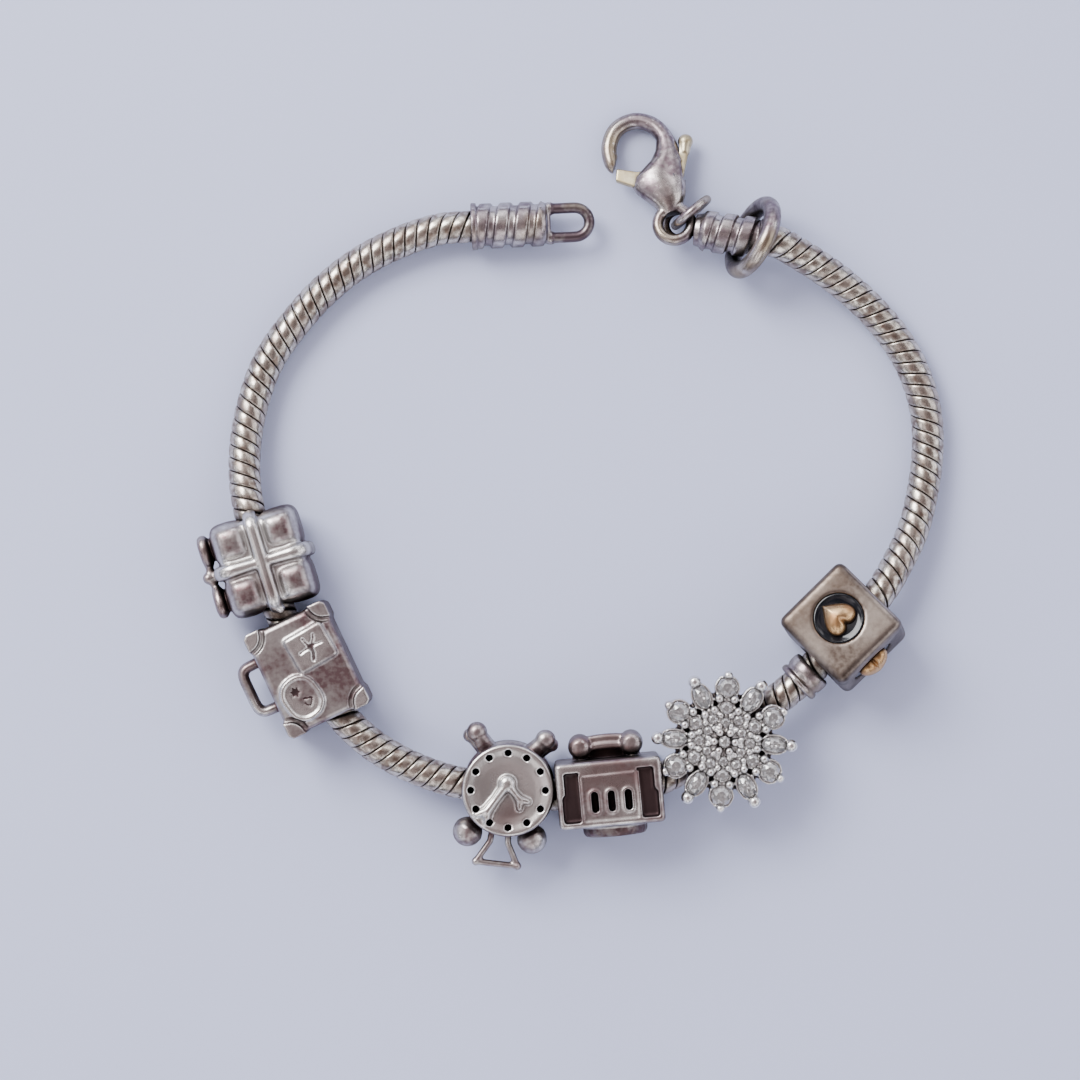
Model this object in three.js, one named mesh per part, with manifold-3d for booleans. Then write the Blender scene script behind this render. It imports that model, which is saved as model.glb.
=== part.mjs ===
// A sterling silver charm bracelet, lying open and flat: a snake chain with a loop cap at one end and
// a lobster clasp at the other, a loose stopper ring, and six charms and a thread station on the chain.
// Millimetres, +Z up, origin under the middle of the bracelet on the surface that it lies on.
import * as THREE from "three";
import { mergeVertices } from "three/addons/utils/BufferGeometryUtils.js";
import Module from "manifold-3d";

const wasm = await Module();
wasm.setup();

// ---- driving dimensions ----
const CHAIN_RADIUS = 1.53;
const CHAIN_SIDES = 8;
const CHAIN_STEPS = 76;
const BORE_RADIUS = 2.15; // the hole through every charm, so that it slides on the chain
const FIT_GAP = 0.15; // air between the chain and the collar on it
const SOCKET_DEPTH = 1.7; // how far the chain goes into each end cap
const SOCKET_GAP = 0.16;
const WIRE_SIDES = 8;

const LOOP_CAP = { start: [-2.15, 25.77, 2.28], end: [-9.45, 25.45, 2.28], radius: 2.13, flange: 2.27 };
const CLASP_CAP = { start: [12.52, 24.98, 3.56], end: [18.7, 24.1, 4.15], radius: 1.93, flange: 1.93 };
const SPIRAL_PITCH = 2.1;
const SPIRAL_GROOVE = 0.12;
const END_LOOP = { length: 4.6, width: 3.85, wire: 0.52 };
const HIDDEN_LOOP = { centre: [10.62, 25.7, 1.74], radius: 1.26, wire: 0.33 };
const JUMP_RING = { centre: [11.69, 26.75, 2.92], radius: 1.97, wire: 0.42, heading: 39.4 };
const STOPPER = { centre: [17.55, 24.26, 4.07], radius: 3.4, wire: 0.84, heading: 156, lean: 20 };
const CLASP = { eye: [10.08, 25.6, 3.42], heading: 19.7, drop: 13.7, thickness: 2.8 };
const CLASP_EYE = { radius: 1.58, wire: 0.55, stretch: 1.15 };
const CLASP_HOOK_RADIUS = 0.74;
const LEVER = { pivot: [1.3, 4.3], thickness: 0.8, pin: 0.3, opensDegrees: 22 };

// Each charm: where its middle is, which way the chain runs through it, how far it rolls on the
// chain, and its size along the chain, across it and upwards.
const CHARMS = {
  gift: { at: [-29.2, -6.76, 3.8], heading: -73, roll: 0, size: [9.4, 8.8, 7.6] },
  suitcase: { at: [-25.02, -17.05, 3.5], heading: -64.8, roll: 0, size: [10.8, 8.5, 7.0] },
  clock: { at: [-5.87, -28.5, 3.5], heading: -6.6, roll: 0, size: [8.9, 8.9, 7.0] },
  telephone: { at: [3.81, -28.7, 3.9], heading: 5.2, roll: 0, size: [10.1, 6.3, 7.8] },
  snowflake: { at: [14.68, -23.88, 3.12], heading: 36, roll: 0, size: [6.4, 6.2, 6.2] },
  thread: { at: [22.75, -17.55, 3.95], heading: 45, roll: 0, size: [1.7, 4.0, 4.0] },
  cube: { at: [26.3, -13.35, 4.893], heading: 44.6, roll: -16, size: [8.3, 8.7, 8.0] },
};

const GIFT = {
  ribbon: 1.1, // the ribbon's width
  proud: 0.28, // how far the ribbon stands out of the box
  bow: { length: 3.3, height: 2.9, thickness: 0.95, apart: 2.5, out: 0.8, tie: 0.4 },
  knot: 0.7,
};
const SUITCASE = {
  proud: 0.2, // how far corners, label and badge stand out
  corner: 0.75,
  label: { size: [3.6, 4.0], at: [-1.75, 1.2], turn: 5 },
  badge: { size: [4.2, 3.6], at: [2.25, -1.55], turn: 12 },
  handle: { from: -2.7, to: 2.1, out: 1.85, wire: 0.4 },
};
const CLOCK = {
  dish: 0.25, // how deep the dial lies under its rim
  rim: 0.7,
  middle: -0.3, // the feet, bells and handle stand a little to one side of the dial
  upperFoot: { at: [3.35, 5.3, 1.2], radius: 0.92, leg: 0.6 },
  lowerFoot: { at: [3.9, 4.45, -1.6], radius: 0.7, leg: 0.45 },
  bell: { at: [3.3, -4.75, 0.6], radius: 1.4, leg: 0.6 },
  bail: { top: -7.3, narrow: 0.8, wide: 2.0, wire: 0.3 },
};
const TELEPHONE = {
  frame: [0.6, 0.75], // the raised frame's width at the ends and along the sides
  recess: 0.55,
  panel: [5.6, 4.7],
  slots: { count: 3, size: [0.6, 2.2], pitch: 1.25, at: [0.1, -0.7] },
  handset: { apart: 2.5, out: 1.7, level: 1.3, cup: 1.0, grip: 0.5, cradle: 0.7 },
  dial: { at: 0.25, outer: 2.75, inner: 3.1, thickness: 1.15 },
};
const SNOWFLAKE = {
  turn: 26.6, // the first arm's direction seen from above
  outer: 6.6,
  inner: 2.75,
  roundArm: 1.12, // half the width of an arm with a round stone, and of one with a long stone
  longArm: 0.9,
  level: 3.15, // the middle of the star plate above the middle of the charm
  thickness: 1.5,
  stone: { radius: 0.5, level: 4.42, flatten: 0.6 },
};

// The chain's middle line, from inside the loop cap round to inside the clasp cap.
const CHAIN_ROUTE = [
  [-7.9, 25.52, 2.28],
  [-9.5, 25.45, 2.28],
  [-12.6, 25.22, 2.0],
  [-16.5, 23.95, 1.75],
  [-20.4, 21.93, 1.62],
  [-23.82, 19.2, 1.56],
  [-26.54, 16.18, 1.56],
  [-28.97, 12.67, 1.6],
  [-30.45, 8.71, 1.8],
  [-31.18, 4.78, 2.25],
  [-31.2, 0.92, 2.95],
  [-30.65, -2.2, 3.55],
  [-29.3, -6.9, 3.85],
  [-27.75, -11.6, 3.65],
  [-25.05, -16.8, 3.5],
  [-22.0, -21.4, 3.42],
  [-19.55, -23.85, 3.4],
  [-17.31, -25.39, 3.4],
  [-14.8, -26.64, 3.42],
  [-11.2, -27.85, 3.46],
  [-5.75, -28.75, 3.5],
  [-1.0, -29.15, 3.7],
  [3.75, -29.0, 3.85],
  [9.0, -27.5, 3.65],
  [14.6, -24.15, 3.4],
  [19.2, -20.6, 3.65],
  [22.75, -17.55, 3.95],
  [26.4, -13.45, 4.45],
  [29.9, -9.55, 3.8],
  [31.64, -6.72, 3.05],
  [33.05, -3.86, 2.4],
  [34.07, -0.03, 1.85],
  [34.58, 3.84, 1.6],
  [34.4, 7.7, 1.56],
  [33.24, 11.56, 1.56],
  [31.3, 14.93, 1.66],
  [28.37, 18.19, 2.05],
  [25.05, 20.85, 2.75],
  [21.45, 23.05, 3.62],
  [20.0, 23.78, 4.05],
  [18.7, 24.1, 4.15],
  [17.22, 24.31, 4.01],
];

const SILVER = new THREE.MeshStandardMaterial({ color: 0xb9b1ac, roughness: 0.35, metalness: 1 });
const CHAIN_SILVER = new THREE.MeshStandardMaterial({ color: 0xc4bdb2, roughness: 0.25, metalness: 1 });
const GOLD = new THREE.MeshStandardMaterial({ color: 0xc79a5b, roughness: 0.3, metalness: 1 });
const ENAMEL = new THREE.MeshStandardMaterial({ color: 0x14151a, roughness: 0.2, metalness: 0 });
const CRYSTAL = new THREE.MeshStandardMaterial({ color: 0xe6e8ee, roughness: 0.05, metalness: 0 });

// ---- solids ----
const radians = THREE.MathUtils.degToRad;
const vector = (point) => new THREE.Vector3(...point);

// A closed geometry as a solid that can be joined and cut.
function solid(geometry, matrix = new THREE.Matrix4()) {
  const bare = new THREE.BufferGeometry();
  bare.setAttribute("position", geometry.getAttribute("position").clone());
  bare.setIndex(geometry.index);
  bare.applyMatrix4(matrix);
  const merged = mergeVertices(bare, 1e-4);
  const corners = merged.index.array;
  const kept = [];
  for (let i = 0; i < corners.length; i += 3) {
    const [a, b, c] = corners.slice(i, i + 3);
    if (a !== b && b !== c && c !== a) kept.push(a, b, c);
  }
  return new wasm.Manifold(
    new wasm.Mesh({
      numProp: 3,
      vertProperties: merged.attributes.position.array,
      triVerts: new Uint32Array(kept),
    }),
  );
}

const join = (...solids) => solids.reduce((whole, next) => whole.add(next));

// A solid as a named mesh, placed by its own matrix.
function piece(name, whole, material, matrix = new THREE.Matrix4()) {
  const { vertProperties, triVerts } = whole.getMesh();
  const geometry = new THREE.BufferGeometry();
  geometry.setAttribute("position", new THREE.BufferAttribute(new Float32Array(vertProperties), 3));
  geometry.setIndex(new THREE.BufferAttribute(new Uint32Array(triVerts), 1));
  geometry.computeVertexNormals();
  const mesh = new THREE.Mesh(geometry, material);
  mesh.name = name;
  matrix.decompose(mesh.position, mesh.quaternion, mesh.scale);
  return mesh;
}

// A matrix that moves to a point and turns by degrees about X, then Y, then Z.
function placed([x, y, z], turnX = 0, turnY = 0, turnZ = 0) {
  const turn = new THREE.Euler(radians(turnX), radians(turnY), radians(turnZ), "ZYX");
  return new THREE.Matrix4().makeRotationFromEuler(turn).setPosition(x, y, z);
}

function ball(centre, radius, flatten = [1, 1, 1], around = 8, down = 6) {
  const matrix = placed(centre).scale(new THREE.Vector3(...flatten));
  return solid(new THREE.SphereGeometry(radius, around, down), matrix);
}

// A round bar between two points.
function bar(from, to, radius, sides = 12) {
  const [a, b] = [vector(from), vector(to)];
  const along = b.clone().sub(a);
  const geometry = new THREE.CylinderGeometry(radius, radius, along.length(), sides);
  const turn = new THREE.Quaternion().setFromUnitVectors(
    new THREE.Vector3(0, 1, 0),
    along.clone().normalize(),
  );
  const middle = a.add(b).multiplyScalar(0.5);
  return solid(geometry, new THREE.Matrix4().makeRotationFromQuaternion(turn).setPosition(middle));
}

function regularPolygon(radius, sides) {
  const corners = Array.from({ length: sides }, (_, i) => {
    const angle = (2 * Math.PI * (i + 0.5)) / sides;
    return new THREE.Vector2(radius * Math.cos(angle), radius * Math.sin(angle));
  });
  return new THREE.Shape(corners);
}

// A wire or chain of one thickness along a smooth open curve.
function tube(points, radius, sides, steps) {
  const path = points instanceof THREE.Curve ? points : new THREE.CatmullRomCurve3(points.map(vector));
  return solid(
    new THREE.ExtrudeGeometry(regularPolygon(radius, sides), { steps, extrudePath: path }),
  );
}

function roundedRectangle(width, height, radius) {
  const [x, y] = [width / 2, height / 2];
  const shape = new THREE.Shape();
  shape.moveTo(-x + radius, -y);
  shape.lineTo(x - radius, -y);
  shape.absarc(x - radius, -y + radius, radius, -Math.PI / 2, 0);
  shape.absarc(x - radius, y - radius, radius, 0, Math.PI / 2);
  shape.absarc(-x + radius, y - radius, radius, Math.PI / 2, Math.PI);
  shape.absarc(-x + radius, -y + radius, radius, Math.PI, 1.5 * Math.PI);
  return shape;
}

// A plate of a given outline, centred on z = 0, with its rims bevelled inwards.
function plate(shape, thickness, bevel = 0, segments = 2, curveSegments = 2) {
  const geometry = new THREE.ExtrudeGeometry(shape, {
    depth: thickness - 2 * bevel,
    bevelEnabled: bevel > 0,
    bevelThickness: bevel,
    bevelSize: bevel,
    bevelOffset: -bevel,
    bevelSegments: segments,
    curveSegments,
  });
  return solid(geometry.translate(0, 0, bevel - thickness / 2));
}

const box = (size, centre) => solid(new THREE.BoxGeometry(...size), placed(centre));

function smoothOutline(points, count) {
  const flat = points.map(([x, y]) => new THREE.Vector3(x, y, 0));
  const curve = new THREE.CatmullRomCurve3(flat, true, "centripetal");
  return new THREE.Shape(curve.getPoints(count).slice(0, -1).map((p) => new THREE.Vector2(p.x, p.y)));
}

// ---- the chain and the holes that slide on it ----
const chainCurve = new THREE.CatmullRomCurve3(CHAIN_ROUTE.map(vector));
const chainLength = chainCurve.getLength();

const charmMatrix = ({ at, heading, roll }) => placed(at, roll, 0, heading);

// How far along the chain, from 0 to 1, it comes nearest to a point.
function nearestOnChain(middle) {
  const samples = Array.from({ length: 801 }, (_, i) => i / 800);
  const distance = (u) => chainCurve.getPointAt(u).distanceTo(middle);
  return samples.reduce((best, u) => (distance(u) < distance(best) ? u : best));
}

// A straight hole along the chord of the chain where it passes through a charm, in the charm's own
// frame. It runs past both ends of the charm.
function chainHole(charm, radius = BORE_RADIUS) {
  const nearest = nearestOnChain(vector(charm.at));
  const reach = charm.size[0] / 2 / chainLength;
  const toLocal = charmMatrix(charm).invert();
  const [a, centre, b] = [nearest - reach, nearest, nearest + reach].map((u) =>
    chainCurve.getPointAt(u).applyMatrix4(toLocal),
  );
  const bow = centre.clone().sub(a.clone().add(b).multiplyScalar(0.5)).multiplyScalar(0.5);
  const along = b.clone().sub(a).normalize().multiplyScalar(charm.size[0]);
  const from = a.add(bow).sub(along);
  const to = b.add(bow).add(along);
  return bar(from.toArray(), to.toArray(), radius, 16);
}

// ---- end caps ----
// A turned sleeve along +X with a flange at its far end, coarse rings like a spiral, and a blind
// socket for the chain.
function sleeve(length, radius, flange) {
  const groove = radius - SPIRAL_GROOVE;
  const profile = [
    [0, 0],
    [radius * 0.6, 0],
    [radius * 0.75, 0.35],
  ];
  for (let x = 0.55; x < length - 1.0; x += SPIRAL_PITCH) {
    profile.push([groove, x], [radius, x + 0.35], [radius, x + SPIRAL_PITCH - 0.5]);
  }
  profile.push([groove, length - 0.62], [flange, length - 0.5], [flange, length], [0, length]);
  const turned = new THREE.LatheGeometry(
    profile.map(([r, x]) => new THREE.Vector2(r, x)),
    16,
  );
  const whole = solid(turned, placed([0, 0, 0], 0, 0, -90));
  return whole.subtract(bar([length - SOCKET_DEPTH, 0, 0], [length + 1, 0, 0], CHAIN_RADIUS + SOCKET_GAP, 16));
}

// A frame with its origin at a point, +X along a direction and +Z as near up as it gets.
function frameAlong(point, forward) {
  const side = new THREE.Vector3(0, 0, 1).cross(forward).normalize();
  const up = forward.clone().cross(side);
  return new THREE.Matrix4().makeBasis(forward, side, up).setPosition(point);
}

// The frame of a sleeve: origin at its closed end, +X towards the chain.
function sleeveMatrix({ start, end }) {
  return frameAlong(vector(start), vector(end).sub(vector(start)).normalize());
}

// The frame of a collar that sits concentric on the chain.
function collarMatrix(collar) {
  const u = nearestOnChain(vector(collar.at));
  return frameAlong(chainCurve.getPointAt(u), chainCurve.getTangentAt(u));
}

const sleeveLength = ({ start, end }) => vector(start).distanceTo(vector(end));

function loopCap() {
  const { length, width, wire } = END_LOOP;
  const half = width / 2 - wire;
  const route = [[0.7, half, 0], [-0.6, half, 0]];
  const far = length - wire - half;
  for (let angle = 90; angle <= 270; angle += 30) {
    route.push([-far + half * Math.cos(radians(angle)), half * Math.sin(radians(angle)), 0]);
  }
  route.push([-0.6, -half, 0], [0.7, -half, 0]);
  const neck = box([1.0, width - 0.5, 2 * wire], [0.1, 0, 0]);
  return join(
    sleeve(sleeveLength(LOOP_CAP), LOOP_CAP.radius, LOOP_CAP.flange),
    tube(route, wire, WIRE_SIDES, 28),
    neck,
  );
}

function claspCap() {
  const ring = new THREE.TorusGeometry(HIDDEN_LOOP.radius, HIDDEN_LOOP.wire, 6, 16);
  const toLocal = sleeveMatrix(CLASP_CAP).invert();
  const loop = solid(ring, toLocal.clone().multiply(placed(HIDDEN_LOOP.centre)));
  const [x, y, z] = HIDDEN_LOOP.centre;
  const stub = [[x + 1.15, y - 0.65, z], [x + 2.6, y - 0.8, z + 0.75]].map((point) =>
    vector(point).applyMatrix4(toLocal).toArray(),
  );
  const body = sleeve(sleeveLength(CLASP_CAP), CLASP_CAP.radius, CLASP_CAP.flange);
  return join(body, loop, bar(...stub, HIDDEN_LOOP.wire, WIRE_SIDES));
}

// ---- rings ----
function jumpRing() {
  return solid(new THREE.TorusGeometry(JUMP_RING.radius, JUMP_RING.wire, WIRE_SIDES, 22));
}

function stopperRing() {
  return solid(new THREE.TorusGeometry(STOPPER.radius, STOPPER.wire, 10, 26));
}

// ---- lobster clasp, in its own flat frame: eye at the origin, hook towards +Y ----
const HOOK_ROUTE = [
  [2.25, 6.6],
  [2.15, 8.3],
  [1.45, 10.15],
  [-0.15, 11.25],
  [-2.0, 11.05],
  [-3.3, 9.6],
  [-3.66, 8.0],
  [-3.62, 7.1],
];
const CLASP_OUTLINE = [
  [2.9, 8.1],
  [2.92, 6.1],
  [2.55, 4.3],
  [2.1, 2.6],
  [1.4, 1.6],
  [-0.4, 1.9],
  [-2.45, 4.6],
  [-2.0, 5.8],
  [-0.1, 6.6],
  [0.85, 7.7],
  [1.5, 8.5],
];
const LEVER_OUTLINE = [
  [-3.2, 7.0],
  [-1.7, 6.1],
  [0.6, 5.4],
  [2.1, 5.5],
  [2.85, 6.6],
  [3.45, 7.85],
  [3.95, 7.9],
  [4.1, 7.3],
  [3.3, 6.0],
  [2.3, 4.2],
  [1.4, 3.5],
  [0.2, 3.9],
  [-2.2, 4.95],
  [-3.5, 6.3],
];
const LEVER_TAB = { at: [3.8, 7.5, 0], radius: 0.62, flatten: 0.95 };

function leverBlank(thickness) {
  return plate(new THREE.Shape(LEVER_OUTLINE.map(([x, y]) => new THREE.Vector2(x, y))), thickness);
}

function claspBody() {
  const hook = tube(HOOK_ROUTE.map(([x, y]) => [x, y, 0]), CLASP_HOOK_RADIUS, 10, 20);
  const body = plate(smoothOutline(CLASP_OUTLINE, 22), CLASP.thickness, 0.5, 2);
  const eye = solid(
    new THREE.TorusGeometry(CLASP_EYE.radius, CLASP_EYE.wire, 8, 24),
    new THREE.Matrix4().makeScale(1, 1, CLASP_EYE.stretch),
  );
  const puff = ball([0.5, 5.0, 0], 1, [5.0, 4.7, CLASP.thickness / 2 + 0.05], 16, 8);
  const [px, py] = LEVER.pivot;
  let slotted = join(hook, body.intersect(puff)).subtract(bar([0, 0, -2], [0, 0, 2], CLASP_EYE.radius, 20));
  // The slot is the lever's own outline, a little larger, at every angle that it swings to.
  for (let angle = -1; angle <= LEVER.opensDegrees + 2; angle += 8) {
    const grown = new THREE.Matrix4()
      .makeTranslation(px, py, 0)
      .multiply(new THREE.Matrix4().makeRotationZ(radians(-angle)))
      .multiply(new THREE.Matrix4().makeScale(1.05, 1.12, 1))
      .multiply(new THREE.Matrix4().makeTranslation(-px, -py, 0));
    slotted = slotted.subtract(leverBlank(LEVER.thickness + 0.3).transform(grown.elements));
  }
  const reach = CLASP.thickness / 2 - 0.2;
  const pin = bar([px, py, -reach], [px, py, reach], LEVER.pin, 10);
  return join(slotted, eye, pin);
}

function claspLever() {
  const [x, y] = LEVER.pivot;
  const hole = bar([x, y, -1], [x, y, 1], LEVER.pin + 0.12, 12);
  const tab = ball(LEVER_TAB.at, LEVER_TAB.radius, [1, 1, LEVER_TAB.flatten]);
  return join(leverBlank(LEVER.thickness), tab).subtract(hole);
}

// ---- charms, each in its own frame: +X along the chain, +Y to the bracelet's inside, +Z up ----
function giftCharm() {
  const [length, width, height] = CHARMS.gift.size;
  const { ribbon, proud, bow, knot } = GIFT;
  const out = -width / 2 - bow.out;
  const body = plate(roundedRectangle(length, width, 0.9), height - 2 * proud, 0.7, 2);
  const lengthways = box([length - 0.4, ribbon, height], [0, 0, 0]);
  const across = box([ribbon, width - 0.2, height], [0, 0, 0]);
  const around = box([ribbon, width + 2 * proud, height - 1.6], [0, 0, 0]);
  const bowLoops = [-1, 1].map((side) =>
    plate(roundedRectangle(bow.length, bow.height, 1.3), bow.thickness, 0.3, 1).transform(
      placed([bow.apart * side, out, 0], 90, 0, 0).elements,
    ),
  );
  const tie = bar([-bow.apart / 2 - 0.3, out, 0], [bow.apart / 2 + 0.3, out, 0], bow.tie, 8);
  const post = bar([0, -width / 2 + 0.5, 0], [0, out, 0], knot, 8);
  return join(body, lengthways, across, around, ...bowLoops, tie, post, ball([0, out, 0], knot)).subtract(
    chainHole(CHARMS.gift),
  );
}

// A plate that stands out of both faces of the suitcase.
function sticker({ size, at, turn }, height, rounding) {
  const shape = roundedRectangle(...size, rounding);
  return plate(shape, height, 0.1, 1).transform(placed([...at, 0], 0, 0, turn).elements);
}

function suitcaseCharm() {
  const [length, width, height] = CHARMS.suitcase.size;
  const { proud, corner, label, badge, handle } = SUITCASE;
  const body = plate(roundedRectangle(length - 0.3, width - 0.3, 0.5), height - 2 * proud, 0.35, 1);
  const corners = [];
  for (const x of [-1, 1]) {
    for (const y of [-1, 1]) {
      const centre = [x * (length / 2 - corner + 0.1), y * (width / 2 - corner + 0.1), 0];
      corners.push(solid(new THREE.CylinderGeometry(corner, corner, height, 12), placed(centre, 90)));
    }
  }
  const { from, to, out, wire } = handle;
  const y = -width / 2;
  const route = [
    [from, y + 0.4, 0],
    [from, y - out + 0.65, 0],
    [from + 0.5, y - out + 0.05, 0],
    [(from + to) / 2, y - out, 0],
    [to - 0.5, y - out + 0.05, 0],
    [to, y - out + 0.65, 0],
    [to, y + 0.4, 0],
  ];
  return join(
    body,
    ...corners,
    sticker(label, height, 0.2),
    sticker(badge, height, 1.5),
    tube(route, wire, WIRE_SIDES, 22),
  ).subtract(chainHole(CHARMS.suitcase));
}

function clockCharm() {
  const [diameter, , height] = CHARMS.clock.size;
  const half = diameter / 2;
  const { dish, rim, middle, upperFoot, lowerFoot, bell, bail } = CLOCK;
  const profile = [
    [0, -height / 2 + dish],
    [half - rim, -height / 2 + dish],
    [half - rim / 2, -height / 2],
    [half, -height / 2 + 0.45],
    [half, height / 2 - 0.45],
    [half - rim / 2, height / 2],
    [half - rim, height / 2 - dish],
    [0, height / 2 - dish],
  ];
  const drum = solid(
    new THREE.LatheGeometry(profile.map(([r, z]) => new THREE.Vector2(r, z)), 36),
    placed([0, 0, 0], 90, 0, 0),
  );
  // Each foot and bell is a ball on a leg that comes out of the drum.
  const fittings = [];
  for (const side of [-1, 1]) {
    for (const { at: [x, y, z], radius, leg } of [upperFoot, lowerFoot, bell]) {
      const centre = [middle + side * x, y, z];
      fittings.push(ball(centre, radius), bar([middle + side * x * 0.6, y * 0.65, z], centre, leg, 8));
    }
  }
  const level = bell.at[2];
  const route = [
    [middle - bail.narrow, -4.2, level],
    [middle - bail.narrow, -5.1, level],
    [middle - bail.wide, bail.top, level],
    [middle + bail.wide, bail.top, level],
    [middle + bail.narrow, -5.1, level],
    [middle + bail.narrow, -4.2, level],
  ];
  const bailWire = route.slice(1).map((point, i) => bar(route[i], point, bail.wire, WIRE_SIDES));
  const bailEnds = [route[2], route[3]].map((point) => ball(point, bail.wire + 0.05));
  return join(drum, ...fittings, ...bailWire, ...bailEnds).subtract(chainHole(CHARMS.clock));
}

function telephoneCharm() {
  const [length, width, height] = CHARMS.telephone.size;
  const { frame, recess, panel, slots, handset, dial } = TELEPHONE;
  const body = plate(roundedRectangle(length, width, 0.35), height, 0.3, 1);
  const hollow = box(
    [length - 2 * frame[0], width - 2 * frame[1], 2 * recess],
    [0, -0.15, height / 2],
  );
  const raised = plate(roundedRectangle(...panel, 0.2), 1.0, 0.1, 1).transform(
    placed([0.05, -0.45, height / 2 - 0.45]).elements,
  );
  const cuts = Array.from({ length: slots.count }, (_, i) => {
    const x = slots.at[0] + slots.pitch * (i - (slots.count - 1) / 2);
    return box([...slots.size, 0.6], [x, slots.at[1], height / 2 + 0.1]);
  });
  const back = width / 2 + handset.out;
  const ends = [-handset.apart, handset.apart];
  const cups = ends.map((x) => ball([x, back, handset.level], handset.cup, [1, 1, 1.15], 12, 8));
  const cradles = ends.map((x) =>
    bar([x, width / 2 - 0.5, 0.9], [x, back, 0.9], handset.cradle, 10),
  );
  const grip = bar([ends[0], back, handset.level], [ends[1], back, handset.level], handset.grip, 10);
  const shelf = box([2 * handset.apart, handset.out + 0.2, 0.9], [0, width / 2 + handset.out / 2 - 0.2, 0.3]);
  const disc = solid(
    new THREE.CylinderGeometry(dial.outer, dial.inner, dial.thickness, 28),
    placed([dial.at, -width / 2 - dial.thickness / 2 + 0.03, 0], 180, 0, 0),
  );
  return join(body.subtract(hollow), raised, ...cups, ...cradles, grip, shelf, disc).subtract(
    join(chainHole(CHARMS.telephone), ...cuts),
  );
}

// The star's outline: twelve arms, wider ones for a round stone between slimmer ones.
function starOutline({ outer, inner, roundArm, longArm }) {
  const corners = [];
  for (let arm = 0; arm < 12; arm += 1) {
    const angle = radians(30 * arm);
    const [c, s] = [Math.cos(angle), Math.sin(angle)];
    const at = (r, side) => new THREE.Vector2(r * c - side * s, r * s + side * c);
    const wide = arm % 2 === 0 ? roundArm : longArm;
    corners.push(at(inner, -wide * 0.65), at(outer - 1.9, -wide), at(outer - 0.6, -wide * 0.8));
    corners.push(at(outer, 0), at(outer - 0.6, wide * 0.8), at(outer - 1.9, wide));
    corners.push(at(inner, wide * 0.65));
  }
  return new THREE.Shape(corners);
}

function snowflakeCharm() {
  const charm = CHARMS.snowflake;
  const [length, width] = charm.size;
  const { turn, level, thickness, stone } = SNOWFLAKE;
  const barrel = solid(
    new THREE.LatheGeometry(
      [[0, -0.5], [0.82, -0.5], [1, -0.3], [1, 0.3], [0.82, 0.5], [0, 0.5]].map(
        ([r, x]) => new THREE.Vector2((r * width) / 2, x * length),
      ),
      20,
    ),
    placed([0, 0, 0], 0, 0, -90),
  );
  const star = plate(starOutline(SNOWFLAKE), thickness).transform(
    placed([0, 0, level], 0, 0, turn - charm.heading).elements,
  );
  const seat = solid(
    new THREE.TorusGeometry(stone.radius + 0.25, 0.3, 8, 16),
    placed([0, 0, level + thickness / 2 + 0.1]),
  );
  return join(barrel, star, seat).subtract(chainHole(charm));
}

function centreStone() {
  const { radius, level, flatten } = SNOWFLAKE.stone;
  return ball([0, 0, level], radius, [1, 1, flatten]);
}

function threadStation() {
  const [length, width] = CHARMS.thread.size;
  const half = width / 2;
  const inner = CHAIN_RADIUS + FIT_GAP;
  const profile = [
    [inner, -length / 2],
    [half - 0.12, -length / 2],
    [half, -length / 4],
    [half - 0.12, 0],
    [half, length / 4],
    [half - 0.12, length / 2],
    [inner, length / 2],
  ];
  profile.push(profile[0]);
  return solid(
    new THREE.LatheGeometry(profile.map(([r, x]) => new THREE.Vector2(r, x)), 24),
    placed([0, 0, 0], 0, 0, -90),
  );
}

const HEART = { size: 3.3, height: 1.05, recess: 2.45, depth: 0.55 };

function heartShape(size) {
  const k = size / 2;
  const shape = new THREE.Shape();
  shape.moveTo(0, -k);
  shape.bezierCurveTo(k * 0.5, -k * 0.55, k, -k * 0.1, k, k * 0.35);
  shape.bezierCurveTo(k, k * 0.95, k * 0.25, k * 1.15, 0, k * 0.62);
  shape.bezierCurveTo(-k * 0.25, k * 1.15, -k, k * 0.95, -k, k * 0.35);
  shape.bezierCurveTo(-k, -k * 0.1, -k * 0.5, -k * 0.55, 0, -k);
  return shape;
}

// The two hearts and their enamel grounds sit on the cube's top and on its outer side. This gives
// the frame of each: +Z out of the face, standing on it.
const [cubeLength, cubeWidth, cubeHeight] = CHARMS.cube.size;
const HEART_FACES = {
  top: placed([0.15, 0.4, cubeHeight / 2], 0, 0, 189),
  side: placed([-0.3, -cubeWidth / 2, 0], 90, 0, 0),
};

function cubeCharm() {
  const body = plate(roundedRectangle(cubeLength, cubeWidth, 0.7), cubeHeight, 0.55, 2);
  const recesses = Object.values(HEART_FACES).map((face) =>
    solid(
      new THREE.CylinderGeometry(HEART.recess, HEART.recess, 2 * HEART.depth, 28),
      face.clone().multiply(placed([0, 0, 0], 90)),
    ),
  );
  return body.subtract(join(...recesses, chainHole(CHARMS.cube)));
}

function enamelDisc() {
  const radius = HEART.recess - 0.08;
  const geometry = new THREE.CylinderGeometry(radius, radius, 0.2, 28);
  return solid(geometry, placed([0, 0, 0.18 - HEART.depth], 90));
}

function heart() {
  const body = plate(heartShape(HEART.size), HEART.height, 0.45, 3, 5);
  return body.translate([0, 0.1, HEART.height / 2 - 0.2]);
}

// ---- assembly ----
const CENTRE_SHIFT = [-0.143, -0.139, 0]; // puts the middle of the whole bracelet over the origin
const bracelet = new THREE.Group();
bracelet.position.set(...CENTRE_SHIFT);
const add = (...args) => bracelet.add(piece(...args));

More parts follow.
